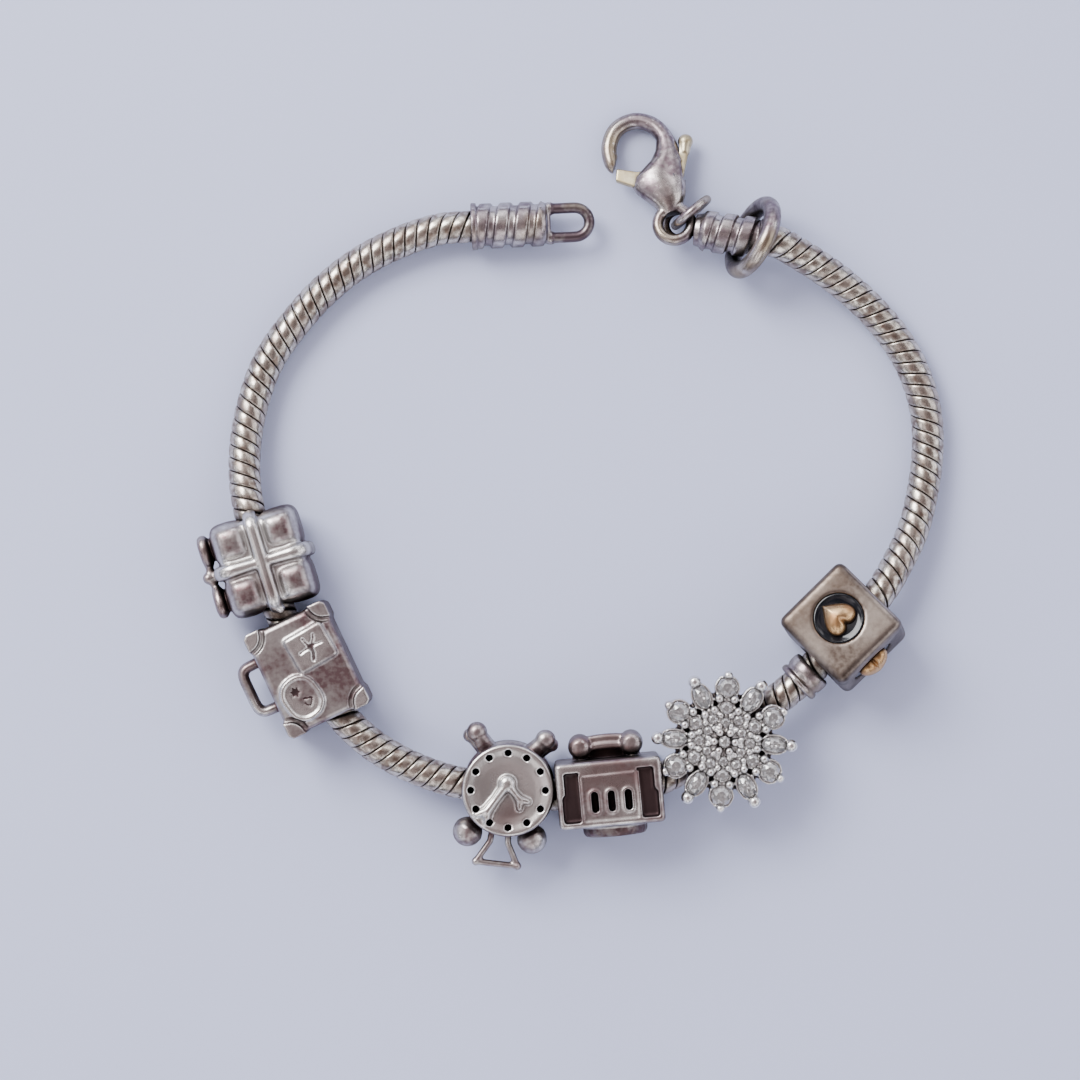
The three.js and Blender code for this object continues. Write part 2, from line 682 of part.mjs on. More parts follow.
add("snake_chain", tube(chainCurve, CHAIN_RADIUS, CHAIN_SIDES, CHAIN_STEPS), CHAIN_SILVER);
add("loop_end_cap", loopCap(), SILVER, sleeveMatrix(LOOP_CAP));
add("clasp_end_cap", claspCap(), SILVER, sleeveMatrix(CLASP_CAP));
add("jump_ring", jumpRing(), SILVER, placed(JUMP_RING.centre, 90, 0, JUMP_RING.heading));
add("stopper_ring", stopperRing(), SILVER, placed(STOPPER.centre, 0, 90 - STOPPER.lean, STOPPER.heading));

const claspFrame = placed(CLASP.eye, -CLASP.drop, 0, CLASP.heading);
add("clasp_body", claspBody(), SILVER, claspFrame);
add("clasp_lever", claspLever(), SILVER, claspFrame);

add("gift_charm", giftCharm(), SILVER, charmMatrix(CHARMS.gift));
add("suitcase_charm", suitcaseCharm(), SILVER, charmMatrix(CHARMS.suitcase));
add("clock_charm", clockCharm(), SILVER, charmMatrix(CHARMS.clock));
add("telephone_charm", telephoneCharm(), SILVER, charmMatrix(CHARMS.telephone));
add("snowflake_charm", snowflakeCharm(), SILVER, charmMatrix(CHARMS.snowflake));
add("snowflake_centre_stone", centreStone(), CRYSTAL, charmMatrix(CHARMS.snowflake));
add("thread_station", threadStation(), SILVER, collarMatrix(CHARMS.thread));
add("cube_charm", cubeCharm(), SILVER, charmMatrix(CHARMS.cube));
for (const [name, face] of Object.entries(HEART_FACES)) {
  const onFace = charmMatrix(CHARMS.cube).multiply(face);
  add(`enamel_${name}`, enamelDisc(), ENAMEL, onFace);
  add(`gold_heart_${name}`, heart(), GOLD, onFace);
}

export default bracelet;
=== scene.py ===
"""A sterling silver charm bracelet that lies open and flat on a pale table."""

from functools import partial
from math import ceil, copysign, cos, exp, hypot, pi, radians, sin

import bmesh
import bpy
from bpy.props import FloatProperty, FloatVectorProperty, PointerProperty
from mathutils import Euler, Matrix, Vector


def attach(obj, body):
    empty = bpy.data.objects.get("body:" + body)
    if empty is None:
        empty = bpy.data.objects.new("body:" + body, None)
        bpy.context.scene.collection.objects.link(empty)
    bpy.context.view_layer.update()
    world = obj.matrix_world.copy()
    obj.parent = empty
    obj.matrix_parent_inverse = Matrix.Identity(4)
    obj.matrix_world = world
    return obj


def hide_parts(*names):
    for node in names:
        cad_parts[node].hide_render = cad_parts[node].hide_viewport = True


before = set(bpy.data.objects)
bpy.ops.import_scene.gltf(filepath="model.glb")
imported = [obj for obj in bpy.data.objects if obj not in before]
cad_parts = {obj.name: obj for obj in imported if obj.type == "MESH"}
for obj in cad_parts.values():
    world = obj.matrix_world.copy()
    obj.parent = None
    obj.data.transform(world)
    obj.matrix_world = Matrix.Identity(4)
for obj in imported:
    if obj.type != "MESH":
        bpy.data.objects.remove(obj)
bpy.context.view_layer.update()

bl_info = {
    "name": "Charm bracelet",
    "version": (1, 0, 0),
    "blender": (4, 5, 0),
    "location": "View3D > Sidebar > Bracelet",
    "description": "Makes the chain, clasp and charms of a silver charm bracelet on a plain stage",
    "category": "Add Mesh",
}

MM = 0.001

# ---- where the pieces are, in millimetres ----
CENTRE_SHIFT = (-0.143, -0.139, 0.0)  # puts the middle of the whole bracelet over the origin
TO_FRAME = Matrix.Scale(MM, 4) @ Matrix.Translation(CENTRE_SHIFT)

# The chain's middle line, from inside the loop cap round to inside the clasp cap.
CHAIN_ROUTE = [
    (-7.9, 25.52, 2.28), (-9.5, 25.45, 2.28), (-12.6, 25.22, 2.0), (-16.5, 23.95, 1.75),
    (-20.4, 21.93, 1.62), (-23.82, 19.2, 1.56), (-26.54, 16.18, 1.56), (-28.97, 12.67, 1.6),
    (-30.45, 8.71, 1.8), (-31.18, 4.78, 2.25), (-31.2, 0.92, 2.95), (-30.65, -2.2, 3.55),
    (-29.3, -6.9, 3.85), (-27.75, -11.6, 3.65), (-25.05, -16.8, 3.5), (-22.0, -21.4, 3.42),
    (-19.55, -23.85, 3.4), (-17.31, -25.39, 3.4), (-14.8, -26.64, 3.42), (-11.2, -27.85, 3.46),
    (-5.75, -28.75, 3.5), (-1.0, -29.15, 3.7), (3.75, -29.0, 3.85), (9.0, -27.5, 3.65),
    (14.6, -24.15, 3.4), (19.2, -20.6, 3.65), (22.75, -17.55, 3.95), (26.4, -13.45, 4.45),
    (29.9, -9.55, 3.8), (31.64, -6.72, 3.05), (33.05, -3.86, 2.4), (34.07, -0.03, 1.85),
    (34.58, 3.84, 1.6), (34.4, 7.7, 1.56), (33.24, 11.56, 1.56), (31.3, 14.93, 1.66),
    (28.37, 18.19, 2.05), (25.05, 20.85, 2.75), (21.45, 23.05, 3.62), (20.0, 23.78, 4.05),
    (18.7, 24.1, 4.15), (17.22, 24.31, 4.01),
]

# Each charm: its middle, the way the chain runs through it, any roll on the chain, and its size
# along the chain, across it and upwards.
CHARMS = {
    "gift": {"at": (-29.2, -6.76, 3.8), "heading": -73, "size": (9.4, 8.8, 7.6)},
    "suitcase": {"at": (-25.02, -17.05, 3.5), "heading": -64.8, "size": (10.8, 8.5, 7.0)},
    "clock": {"at": (-5.87, -28.5, 3.5), "heading": -6.6, "size": (8.9, 8.9, 7.0)},
    "telephone": {"at": (3.81, -28.7, 3.9), "heading": 5.2, "size": (10.1, 6.3, 7.8)},
    "snowflake": {"at": (14.68, -23.88, 3.12), "heading": 36, "size": (6.4, 6.2, 6.2)},
    "thread": {"at": (22.6, -17.75, 3.95), "heading": 45, "size": (2.2, 4.1, 4.1)},
    "cube": {"at": (26.17, -13.12, 4.86), "heading": 44.6, "roll": -13.5, "size": (8.3, 8.7, 8.0)},
}

LOOP_CAP = {"start": (-2.15, 25.77, 2.28), "end": (-9.45, 25.45, 2.28), "radius": 2.13, "flange": 2.27}
CLASP_CAP = {"start": (12.52, 24.98, 3.56), "end": (18.7, 24.1, 4.15), "radius": 1.93, "flange": 1.93}
HIDDEN_LOOP = {"centre": (10.62, 25.7, 1.74), "radius": 1.26, "wire": 0.33}
JUMP_RING = {"centre": (11.69, 26.75, 2.92), "radius": 1.97, "wire": 0.42, "heading": 39.4}
STOPPER = {"centre": (17.55, 24.26, 4.07), "radius": 3.4, "wire": 0.84, "heading": 156, "lean": 20}
CLASP = {"eye": (10.08, 25.6, 3.42), "heading": 19.7, "drop": 13.7, "thickness": 2.8}


# ---- settings that a user would change ----
def size_setting(name, description, millimetres):
    return FloatProperty(
        name=name, description=description, default=millimetres * MM, unit="LENGTH", precision=5
    )


def linear(hex_colour):
    """An sRGB hex colour as linear red, green and blue."""
    channels = [int(hex_colour[i:i + 2], 16) / 255 for i in (1, 3, 5)]
    return tuple(c / 12.92 if c <= 0.04045 else ((c + 0.055) / 1.055) ** 2.4 for c in channels)


def colour_setting(name, description, hex_colour):
    return FloatVectorProperty(
        name=name, description=description, default=linear(hex_colour), subtype="COLOR", min=0, max=1
    )


class ChainSettings(bpy.types.PropertyGroup):
    radius: size_setting("Radius", "Radius of the chain over its bands", 1.55)
    band: size_setting("Band width", "Width of one band from seam to seam", 1.19)
    seam: size_setting("Seam depth", "How deep the seam between two bands is", 0.3)
    colour: colour_setting("Silver", "Colour of the bands where they are rubbed bright", "#D9D2C6")


class StageSettings(bpy.types.PropertyGroup):
    floor: colour_setting("Floor", "Colour of the table top", "#D3DAFB")
    key_power: FloatProperty(
        name="Key light", description="Power of the large soft lamp", default=3.8, unit="POWER"
    )
    sky: FloatProperty(
        name="Room light", description="Strength of the light from the room", default=1.6, min=0
    )


# ---- curves ----
def turns(count):
    """Angles in radians, evenly round a circle."""
    return [2 * pi * k / count for k in range(count)]


def polar(radius, degrees):
    return radius * cos(radians(degrees)), radius * sin(radians(degrees))


def catmull_rom(points, steps):
    """A smooth line through points, with a number of steps between each two of them."""
    points = [Vector(point) for point in points]
    controls = [2 * points[0] - points[1], *points, 2 * points[-1] - points[-2]]
    line = []
    for p0, p1, p2, p3 in zip(controls, controls[1:], controls[2:], controls[3:]):
        d0, d1, d2 = [max((b - a).length ** 0.5, 1e-4) for a, b in ((p0, p1), (p1, p2), (p2, p3))]
        t1 = ((p1 - p0) / d0 - (p2 - p0) / (d0 + d1) + (p2 - p1) / d1) * d1
        t2 = ((p2 - p1) / d1 - (p3 - p1) / (d1 + d2) + (p3 - p2) / d2) * d1
        for step in range(steps):
            t = step / steps
            c2 = 3 * (p2 - p1) - 2 * t1 - t2
            c3 = 2 * (p1 - p2) + t1 + t2
            line.append(p1 + t1 * t + c2 * t ** 2 + c3 * t ** 3)
    return [*line, points[-1]]


class Route:
    """A line that is read by the length along it."""

    def __init__(self, line):
        self.line = line
        self.at = [0.0]
        for a, b in zip(line, line[1:]):
            self.at.append(self.at[-1] + (b - a).length)
        self.length = self.at[-1]

    def point(self, length):
        length = min(max(length, 0.0), self.length)
        low, high = 0, len(self.at) - 1
        while high - low > 1:
            middle = (low + high) // 2
            low, high = (middle, high) if self.at[middle] <= length else (low, middle)
        share = (length - self.at[low]) / (self.at[high] - self.at[low])
        return self.line[low].lerp(self.line[high], share)

    def frame(self, length):
        ahead = self.point(length + 0.3) - self.point(length - 0.3)
        return frame_along(self.point(length), ahead.normalized())

    def nearest(self, middle):
        lengths = [self.length * i / 1600 for i in range(1601)]
        return min(lengths, key=lambda length: (self.point(length) - Vector(middle)).length)


def frame_along(point, forward):
    """Origin at a point, +X forward and +Z as near up as it gets."""
    side = Vector((0, 0, 1)).cross(forward).normalized()
    up = forward.cross(side)
    matrix = Matrix((forward, side, up)).transposed().to_4x4()
    matrix.translation = point
    return matrix


def placed(at, turn_x=0.0, turn_y=0.0, turn_z=0.0):
    """A matrix that moves to a point and turns by degrees about X, then Y, then Z."""
    turn = Euler([radians(angle) for angle in (turn_x, turn_y, turn_z)])
    return Matrix.Translation(at) @ turn.to_matrix().to_4x4()


CHAIN = Route(catmull_rom(CHAIN_ROUTE, 24))


# ---- meshes ----
def new_mesh(name, vertices, faces, merge=1e-5, close_ends=False):
    """A mesh with doubled corners merged, open ends filled if wanted and faces turned outwards."""
    mesh = bpy.data.meshes.new(name)
    mesh.from_pydata(vertices, [], faces)
    work = bmesh.new()
    work.from_mesh(mesh)
    bmesh.ops.remove_doubles(work, verts=work.verts, dist=merge)
    if close_ends:
        open_edges = [edge for edge in work.edges if edge.is_boundary]
        bmesh.ops.holes_fill(work, edges=open_edges, sides=0)
    bmesh.ops.recalc_face_normals(work, faces=work.faces)
    work.to_mesh(mesh)
    work.free()
    return mesh


def new_object(name, data):
    """An object that is in the scene."""
    thing = bpy.data.objects.new(name, data)
    bpy.context.scene.collection.objects.link(thing)
    return thing


def add_piece(name, mesh, matrix, material, slot, *nodes, body="bracelet", smooth=True):
    """Puts a mesh that is in millimetres into the frame as a piece that rides on a body."""
    mesh.name = name
    mesh.transform(TO_FRAME @ matrix)
    mesh.shade_smooth() if smooth else mesh.shade_flat()
    mesh.materials.clear()
    mesh.materials.append(material)
    piece = new_object(name, mesh)
    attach(piece, body)
    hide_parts(*nodes)


# ---- closed shells, each a list of corners and a list of faces, in millimetres ----
def moved(shell, matrix):
    return [matrix @ corner for corner in shell[0]], shell[1]


def turned_to(shell, at, turn_x=0.0, turn_y=0.0, turn_z=0.0):
    return moved(shell, placed(at, turn_x, turn_y, turn_z))


def rings_joined(rings, closed=False):
    """A skin over rings of corners, closed into a loop or with a flat face at each end."""
    count = len(rings[0])
    corners = [corner for ring in rings for corner in ring]
    faces = []
    for row in range(len(rings) if closed else len(rings) - 1):
        after = (row + 1) % len(rings)
        for i in range(count):
            j = (i + 1) % count
            faces.append([row * count + i, row * count + j, after * count + j, after * count + i])
    if not closed:
        faces.append(list(range(count))[::-1])
        faces.append([(len(rings) - 1) * count + i for i in range(count)])
    return corners, faces


def sweep(points, radii, sides=16, closed=False, tall=1.0, steps=0, across=None):
    """A wire through points. radii is one radius or one for each point, and tall stretches its height.

    With across, it is a strap whose width keeps to that direction and whose thickness is tall.
    """
    line = catmull_rom(points, steps) if steps else [Vector(point) for point in points]
    if isinstance(radii, (int, float)):
        radii = [radii] * len(line)
    elif steps:
        radii = [point.x for point in catmull_rom([(radius, 0, 0) for radius in radii], steps)]
    rings = []
    for i, (point, radius) in enumerate(zip(line, radii)):
        before = line[i - 1] if i or closed else point
        after = line[(i + 1) % len(line)] if closed or i + 1 < len(line) else point
        forward = (after - before).normalized()
        guide = Vector((0, 0, 1)) if abs(forward.z) < 0.9 else Vector((0, 1, 0))
        side = Vector(across) if across else guide.cross(forward).normalized()
        up = forward.cross(side).normalized()
        rings.append([point + radius * (cos(a) * side + tall * sin(a) * up) for a in turns(sides)])
    return rings_joined(rings, closed)


def lathe(profile, sides=48):
    """A turned form about Z from (radius, height) pairs whose first and last radius is 0 or small."""
    profile = [(max(radius, 1e-3), z) for radius, z in profile]
    return rings_joined([[Vector((r * cos(a), r * sin(a), z)) for a in turns(sides)] for r, z in profile])


def evenly(points, count):
    """Points at equal distances along a closed outline."""
    line = Route([Vector(point) for point in (*points, points[0])])
    return [line.point(line.length * i / count) for i in range(count)]


def rod(start, end, radius, far_radius=None, sides=20):
    return sweep([start, end], [radius, far_radius or radius], sides)


def ball(centre, radius, squash=(1, 1, 1)):
    profile = [polar(radius, angle) for angle in range(-90, 91, 15)]
    return moved(lathe(profile, 24), Matrix.Translation(centre) @ Matrix.Diagonal((*squash, 1)))


def hoop(radius, wire, sides, steps, tall=1.0):
    points = [(radius * cos(a), radius * sin(a), 0) for a in turns(steps)]
    return sweep(points, wire, sides, closed=True, tall=tall)


def prism(outline, bottom, top):
    """An outline of (x, y) pairs between two heights."""
    return rings_joined([[Vector((x, y, z)) for x, y in outline] for z in (bottom, top)])


def rounded_outline(width, height, radius, steps=6):
    outline = []
    for corner, (side_x, side_y) in enumerate(((1, 1), (-1, 1), (-1, -1), (1, -1))):
        for step in range(steps + 1):
            x, y = polar(radius, 90 * (corner + step / steps))
            outline.append((side_x * (width / 2 - radius) + x, side_y * (height / 2 - radius) + y))
    return outline


def bevelled_box(size, radius, centre=(0, 0, 0), segments=4):
    work = bmesh.new()
    bmesh.ops.create_cube(work, size=1.0, matrix=Matrix.Diagonal((*size, 1)))
    bmesh.ops.bevel(
        work, geom=list(work.edges), offset=radius, segments=segments, profile=0.5, affect="EDGES"
    )
    bmesh.ops.translate(work, verts=work.verts, vec=centre)
    work.verts.index_update()
    shell = [v.co.copy() for v in work.verts], [[v.index for v in face.verts] for face in work.faces]
    work.free()
    return shell


def pillow(size, centre):
    """A puffed block: rounded square in plan, with its top and bottom gently domed."""
    def eased(value, power):
        return copysign(abs(value) ** power, value)

    rings = []
    for row in range(1, 24):
        lean = pi * (row / 24 - 0.5)
        reach, level = eased(cos(lean), 0.7), eased(sin(lean), 0.75)
        ring = []
        for angle in turns(48):
            x, y = (reach * eased(turn, 0.5) for turn in (cos(angle), sin(angle)))
            ring.append(Vector(centre) + Vector((x * size[0], y * size[1], level * size[2])) / 2)
        rings.append(ring)
    return rings_joined(rings)


def gathered(name, shells):
    """One mesh of several shells, which may pass through each other."""
    corners, faces = [], []
    for shell_corners, shell_faces in shells:
        faces += [[index + len(corners) for index in face] for face in shell_faces]
        corners += shell_corners
    return new_mesh(name, corners, faces)


def shell_object(name, shells, grain):
    """An object of shells that melt into one skin whose faces are as large as the grain."""
    thing = new_object(name, gathered(name, shells))
    modify(thing, "REMESH", mode="VOXEL", voxel_size=grain)
    return thing


def modify(thing, kind, **settings):
    modifier = thing.modifiers.new(kind, kind)
    for key, value in settings.items():
        setattr(modifier, key, value)


def cast(name, parts, cuts=(), grain=0.11, soften=3):
    """Melts shells into one body and cuts others out of it, then softens its edges as casting does.

    grain is the size of its faces in millimetres, so it sets how sharp the finest detail is.
    """
    body = shell_object(name, parts, grain)
    used = [body]
    if cuts:
        used.append(shell_object(name + "_cutter", cuts, grain))
        modify(body, "BOOLEAN", operation="DIFFERENCE", solver="MANIFOLD", object=used[1])
        modify(body, "REMESH", mode="VOXEL", voxel_size=grain)
    if soften:
        modify(body, "SMOOTH", factor=0.5, iterations=soften)
    mesh = bpy.data.meshes.new_from_object(body.evaluated_get(bpy.context.evaluated_depsgraph_get()))
    for thing in used:
        bpy.data.objects.remove(thing)
    if not mesh.polygons:
        raise RuntimeError(name + " came out empty")
    return mesh


def mark_wear_and_painted_shade(mesh, measure):
    """Marks where silver is rubbed bright (up to 1) or left dark (down to -1) by place in it; the dark marks
    are oxide in recesses and also painted shade on sides and under parts.
    """
    mark = mesh.attributes.new("wear_and_painted_shade", "FLOAT", "POINT")
    mark.data.foreach_set("value", [measure(corner.co) for corner in mesh.vertices])
    return mesh


# ---- materials ----
def new_material(name):
    """A material, its Principled shader, and the node function for its tree."""
    material = bpy.data.materials.new(name)
    material.use_nodes = True
    tree = material.node_tree
    return material, tree.nodes["Principled BSDF"], partial(node, tree)


def node(tree, kind, inputs=None, **settings):
    """Adds a shader node with its own settings, and feeds its inputs."""
    made = tree.nodes.new("ShaderNode" + kind)
    for key, value in settings.items():
        setattr(made, key, value)
    feed(made, inputs or {})
    return made


def feed(made, inputs):
    """Gives each named input of a node a value, or links it to a socket or a node's first output."""
    for key, value in inputs.items():
        if isinstance(value, (bpy.types.Node, bpy.types.NodeSocket)):
            made.id_data.links.new(getattr(value, "outputs", [value])[0], made.inputs[key])
        else:
            made.inputs[key].default_value = value


def rgba(colour):
    return (*(linear(colour) if isinstance(colour, str) else colour), 1.0)


def per_mm(millimetres):
    """The scale of a pattern whose marks are about as wide as a number of millimetres."""
    return 1 / (millimetres * MM)


def silver(name, bright, toned, bloom, oxide_and_shade, patch, cover, shine, grain, side_shade):
    """Silver or gold with tone in patches, oxidised hollows that also hold painted shade, painted shade on
    its sides, and rubbed bright edges.

    patch is how wide the patches of tone are in millimetres and cover how much they hold, bloom is
    the colour of some rarer patches, shine is the roughness of (rubbed edges, open faces, hollows),
    grain is the depth of the skin's grain in millimetres, and steep is how much painted shade darkens
    upright sides and undersides towards the colour of the hollows.
    """
    material, shader, add = new_material(name)
    where = add("TexCoord").outputs["Object"]
    cloud = add("TexNoise", {"Vector": where, "Scale": per_mm(patch), "Detail": 3.0})
    wide = add("TexNoise", {"Vector": where, "Scale": per_mm(2.3 * patch)})
    speck = add("TexNoise", {"Vector": where, "Scale": per_mm(0.45), "Detail": 3.0})
    low = 0.62 - 0.4 * cover
    broad = add("MapRange", {0: cloud, "From Min": low, "From Max": low + 0.2})
    fine = add("MapRange", {0: speck, "From Min": 0.36, "From Max": 0.66, "To Max": 0.3})
    tone = add("Math", {0: broad, 1: 0.7, 2: fine}, operation="MULTIPLY_ADD")
    # Negative marks darken: oxide in recesses, and painted shade on sides and under parts.
    wear_and_painted_shade = add("Attribute", attribute_name="wear_and_painted_shade").outputs["Fac"]
    left = add("Math", {0: tone, 1: wear_and_painted_shade}, operation="SUBTRACT", use_clamp=True)
    rare = add("MapRange", {0: wide, "From Min": 0.52, "From Max": 0.66, "To Max": 0.7})

    # Oxide and painted shade stay in hollows that little light reaches, oxide stays in creases, places
    # marked dark hold oxide and painted shade, and upright sides and undersides get painted shade.
    pointed = add("NewGeometry").outputs["Pointiness"]
    edge = add("MapRange", {0: pointed, "From Min": 0.53, "From Max": 0.75})
    crease = add("MapRange", {0: pointed, "From Min": 0.49, "From Max": 0.41})
    open_sky = add("AmbientOcclusion", {"Distance": 1.5 * MM}, samples=6).outputs["AO"]
    hollow = add("MapRange", {0: open_sky, "From Min": 0.88, "From Max": 0.34})
    # Painted shade: faces turned away from straight up are darkened towards the hollows' colour, as far as
    # the last argument allows.
    facing = add("SeparateXYZ", {0: add("TexCoord").outputs["Normal"]}).outputs["Z"]
    side = add("MapRange", {0: facing, "From Min": 0.8, "From Max": 0.15, "To Max": side_shade})
    deep = add("Math", {0: wear_and_painted_shade, 1: -1.0}, operation="MULTIPLY")
    for dark in (hollow, crease, side):
        deep = add("Math", {0: deep, 1: dark}, operation="MAXIMUM", use_clamp=True)

    colour = rgba(bright)
    for laid, amount in ((toned, left), (bloom, rare), (bright, edge), (oxide_and_shade, deep)):
        colour = add("Mix", {0: amount, 6: colour, 7: rgba(laid)}, data_type="RGBA").outputs[2]
    polish = add("MapRange", {0: edge, "To Min": shine[1], "To Max": shine[0]})
    spread = add("Math", {0: left, 1: 0.12, 2: polish}, operation="MULTIPLY_ADD")
    rough = add("Mix", {0: deep, 2: spread, 3: shine[2]})
    skin = add("TexNoise", {"Vector": where, "Scale": per_mm(0.28), "Detail": 4.0})
    bump = add("Bump", {"Strength": 0.5, "Distance": grain * MM, "Height": skin})
    feed(shader, {"Base Color": colour, "Metallic": 1.0, "Roughness": rough, "Normal": bump})
    return material


def clouded(add, scale, detail, colours):
    """Two colours in soft clouds whose width is a scale in millimetres."""
    where = add("TexCoord").outputs["Object"]
    cloud = add("TexNoise", {"Vector": where, "Scale": per_mm(scale), "Detail": detail})
    first, second = [rgba(colour) for colour in colours]
    return add("Mix", {0: cloud, 6: first, 7: second}, data_type="RGBA").outputs[2]


def snake_chain_silver(settings):
    """Rolled and woven sterling silver band, polished, then toned by wear.

    The crowns of the bands are rubbed bright and slightly warm, and brown tarnish and dirt fill the
    thin seams where no cloth reaches.
    """
    return silver(
        "woven_sterling_silver", tuple(settings.colour), "#857469", "#BDB0A6", "#1A1310",
        patch=0.9, cover=0.55, shine=(0.15, 0.2, 0.5), grain=0.01, side_shade=0.2,
    )


def oxidised_cast_silver(settings):
    """Lost-wax cast sterling silver, blackened in a bath and tumbled bright again.

    The eye sees brown-grey satin faces, white rubbed edges and near-black hollows.
    """
    return silver(
        "oxidised_cast_silver", tuple(settings.colour), "#7A6264", "#8C706E", "#100C0B",
        patch=3.2, cover=0.66, shine=(0.16, 0.24, 0.55), grain=0.01, side_shade=0.6,
    )


def polished_silver(settings):
    """Drawn and cast sterling silver, mirror polished, with a lilac and yellow bloom of tarnish."""
    return silver(
        "polished_sterling_silver", tuple(settings.colour), "#7C6A71", "#B0A07E", "#241C18",
        patch=2.6, cover=0.7, shine=(0.13, 0.19, 0.45), grain=0.005, side_shade=0.6,
    )


def yellowed_silver():
    """Stamped silver that has yellowed in its clasp, where fingers leave it unpolished."""
    return silver(
        "yellowed_silver", "#DDD2B4", "#AC9C7C", "#C7B78C", "#332A1E",
        patch=1.2, cover=0.55, shine=(0.18, 0.3, 0.55), grain=0.01, side_shade=0.2,
    )


def satin_cube_silver():
    """Sterling silver with a satin face, its brown tone left in broad clouds."""
    return silver(
        "satin_sterling_silver", "#A99D93", "#564A43", "#6C5D52", "#1A1512",
        patch=5.5, cover=0.75, shine=(0.18, 0.28, 0.55), grain=0.012, side_shade=0.4,
    )


def yellow_gold(settings):
    """Fourteen carat yellow gold, pressed and polished, a little reddish in its shade."""
    return silver(
        "yellow_gold_14_carat", tuple(settings.colour), "#B3845A", "#E2C69C", "#4A2E1C",
        patch=1.4, cover=0.45, shine=(0.18, 0.24, 0.4), grain=0.003, side_shade=0.3,
    )


def black_enamel():
    """Vitreous enamel, fired black: a glass skin with one clean highlight over a deep ground."""
    material, shader, add = new_material("black_vitreous_enamel")
    tint = clouded(add, 1.0, 2.0, ("#0B0C10", "#171A22"))
    feed(shader, {"Base Color": tint, "Roughness": 0.09, "IOR": 1.52})
    return material


def setting_silver():
    """Sterling silver raised in beads and claws round set stones: bright, with grey left between."""
    return silver(
        "stone_setting_silver", "#F8F6F4", "#BFB4B1", "#CFC4C0", "#4E4543",
        patch=2.2, cover=0.4, shine=(0.14, 0.2, 0.4), grain=0.006, side_shade=0.3,
    )


def cubic_zirconia():
    """Cut cubic zirconia: colourless, bright as diamond, each facet a small window or mirror."""
    material, shader, add = new_material("cubic_zirconia")
    tint = clouded(add, 1.4, 1.0, ("#FFFFFF", "#EDE6E4"))
    feed(shader, {
        "Base Color": tint, "Roughness": 0.02, "IOR": 2.16, "Transmission Weight": 0.86,
        "Coat Weight": 1.0, "Coat IOR": 2.1, "Coat Roughness": 0.01,
    })
    return material


# ---- the chain ----
BANDS_AROUND = 3  # bands that start side by side, so that one turn of a seam moves on by three bands
CHAIN_SIDES = 32
BAND_STATIONS = (0.0, 0.035, 0.075, 0.13, 0.25, 0.5, 0.75, 0.87, 0.925, 0.965)  # shares of a band's width


def band_radius(share, radius, seam):
    """The chain's radius at a share of a band's width: a flat crown that falls into the seams."""
    off_crown = abs(2 * (share % 1.0) - 1)
    return radius - 0.04 * off_crown ** 2 - (seam - 0.04) * off_crown ** 12


def snake_chain_mesh(settings):
    """A tube whose rows of faces follow the seams, which wind round it as left-handed screws."""
    radius, band, seam = (value / MM for value in (settings.radius, settings.band, settings.seam))
    lead = BANDS_AROUND * band
    stations = len(BAND_STATIONS)
    bands = ceil(CHAIN.length / band) + BANDS_AROUND + 1
    starts = [(k - BANDS_AROUND + share) * band for k in range(bands) for share in BAND_STATIONS]
    frames = {}
    vertices = []
    for start in starts:
        for side in range(CHAIN_SIDES):
            turn = side / CHAIN_SIDES
            along = min(max(start + turn * lead, 0.0), CHAIN.length)
            key = round(along, 3)
            if key not in frames:
                frames[key] = CHAIN.frame(key)
            reach = band_radius((along - turn * lead) / band, radius, seam)
            angle = 2 * pi * turn
            offset = Vector((0, -reach * cos(angle), reach * sin(angle)))
            vertices.append(frames[key] @ offset)
    faces = []
    last = len(starts) - 1
    turned = BANDS_AROUND * stations
    for row in range(last):
        for side in range(CHAIN_SIDES):
            if side + 1 < CHAIN_SIDES:
                after = [(row, side + 1), (row + 1, side + 1)]
            else:
                after = [(min(row + turned, last), 0), (min(row + 1 + turned, last), 0)]
            corners = [(row, side), *after, (row + 1, side)]
            faces.append([r * CHAIN_SIDES + s for r, s in corners])
    return new_mesh("snake_chain", vertices, faces, merge=1e-3, close_ends=True)


class BRACELET_OT_chain(bpy.types.Operator):
    """Makes the snake chain that carries every charm"""

    bl_idname = "bracelet.chain"
    bl_label = "Snake chain"

    def execute(self, context):
        settings = context.scene.bracelet_chain
        made = snake_chain_silver(settings)
        add_piece("chain_bands", snake_chain_mesh(settings), Matrix(), made, "chain_silver", "snake_chain")
        return {"FINISHED"}


# ---- the two end caps ----
SPIRAL_PITCH = 1.95
RIDGE_SHARE = 0.62  # how much of a turn of the spiral is raised
RIDGE_HEIGHT = 0.3
SOCKET = {"radius": 1.6, "depth": 1.7}


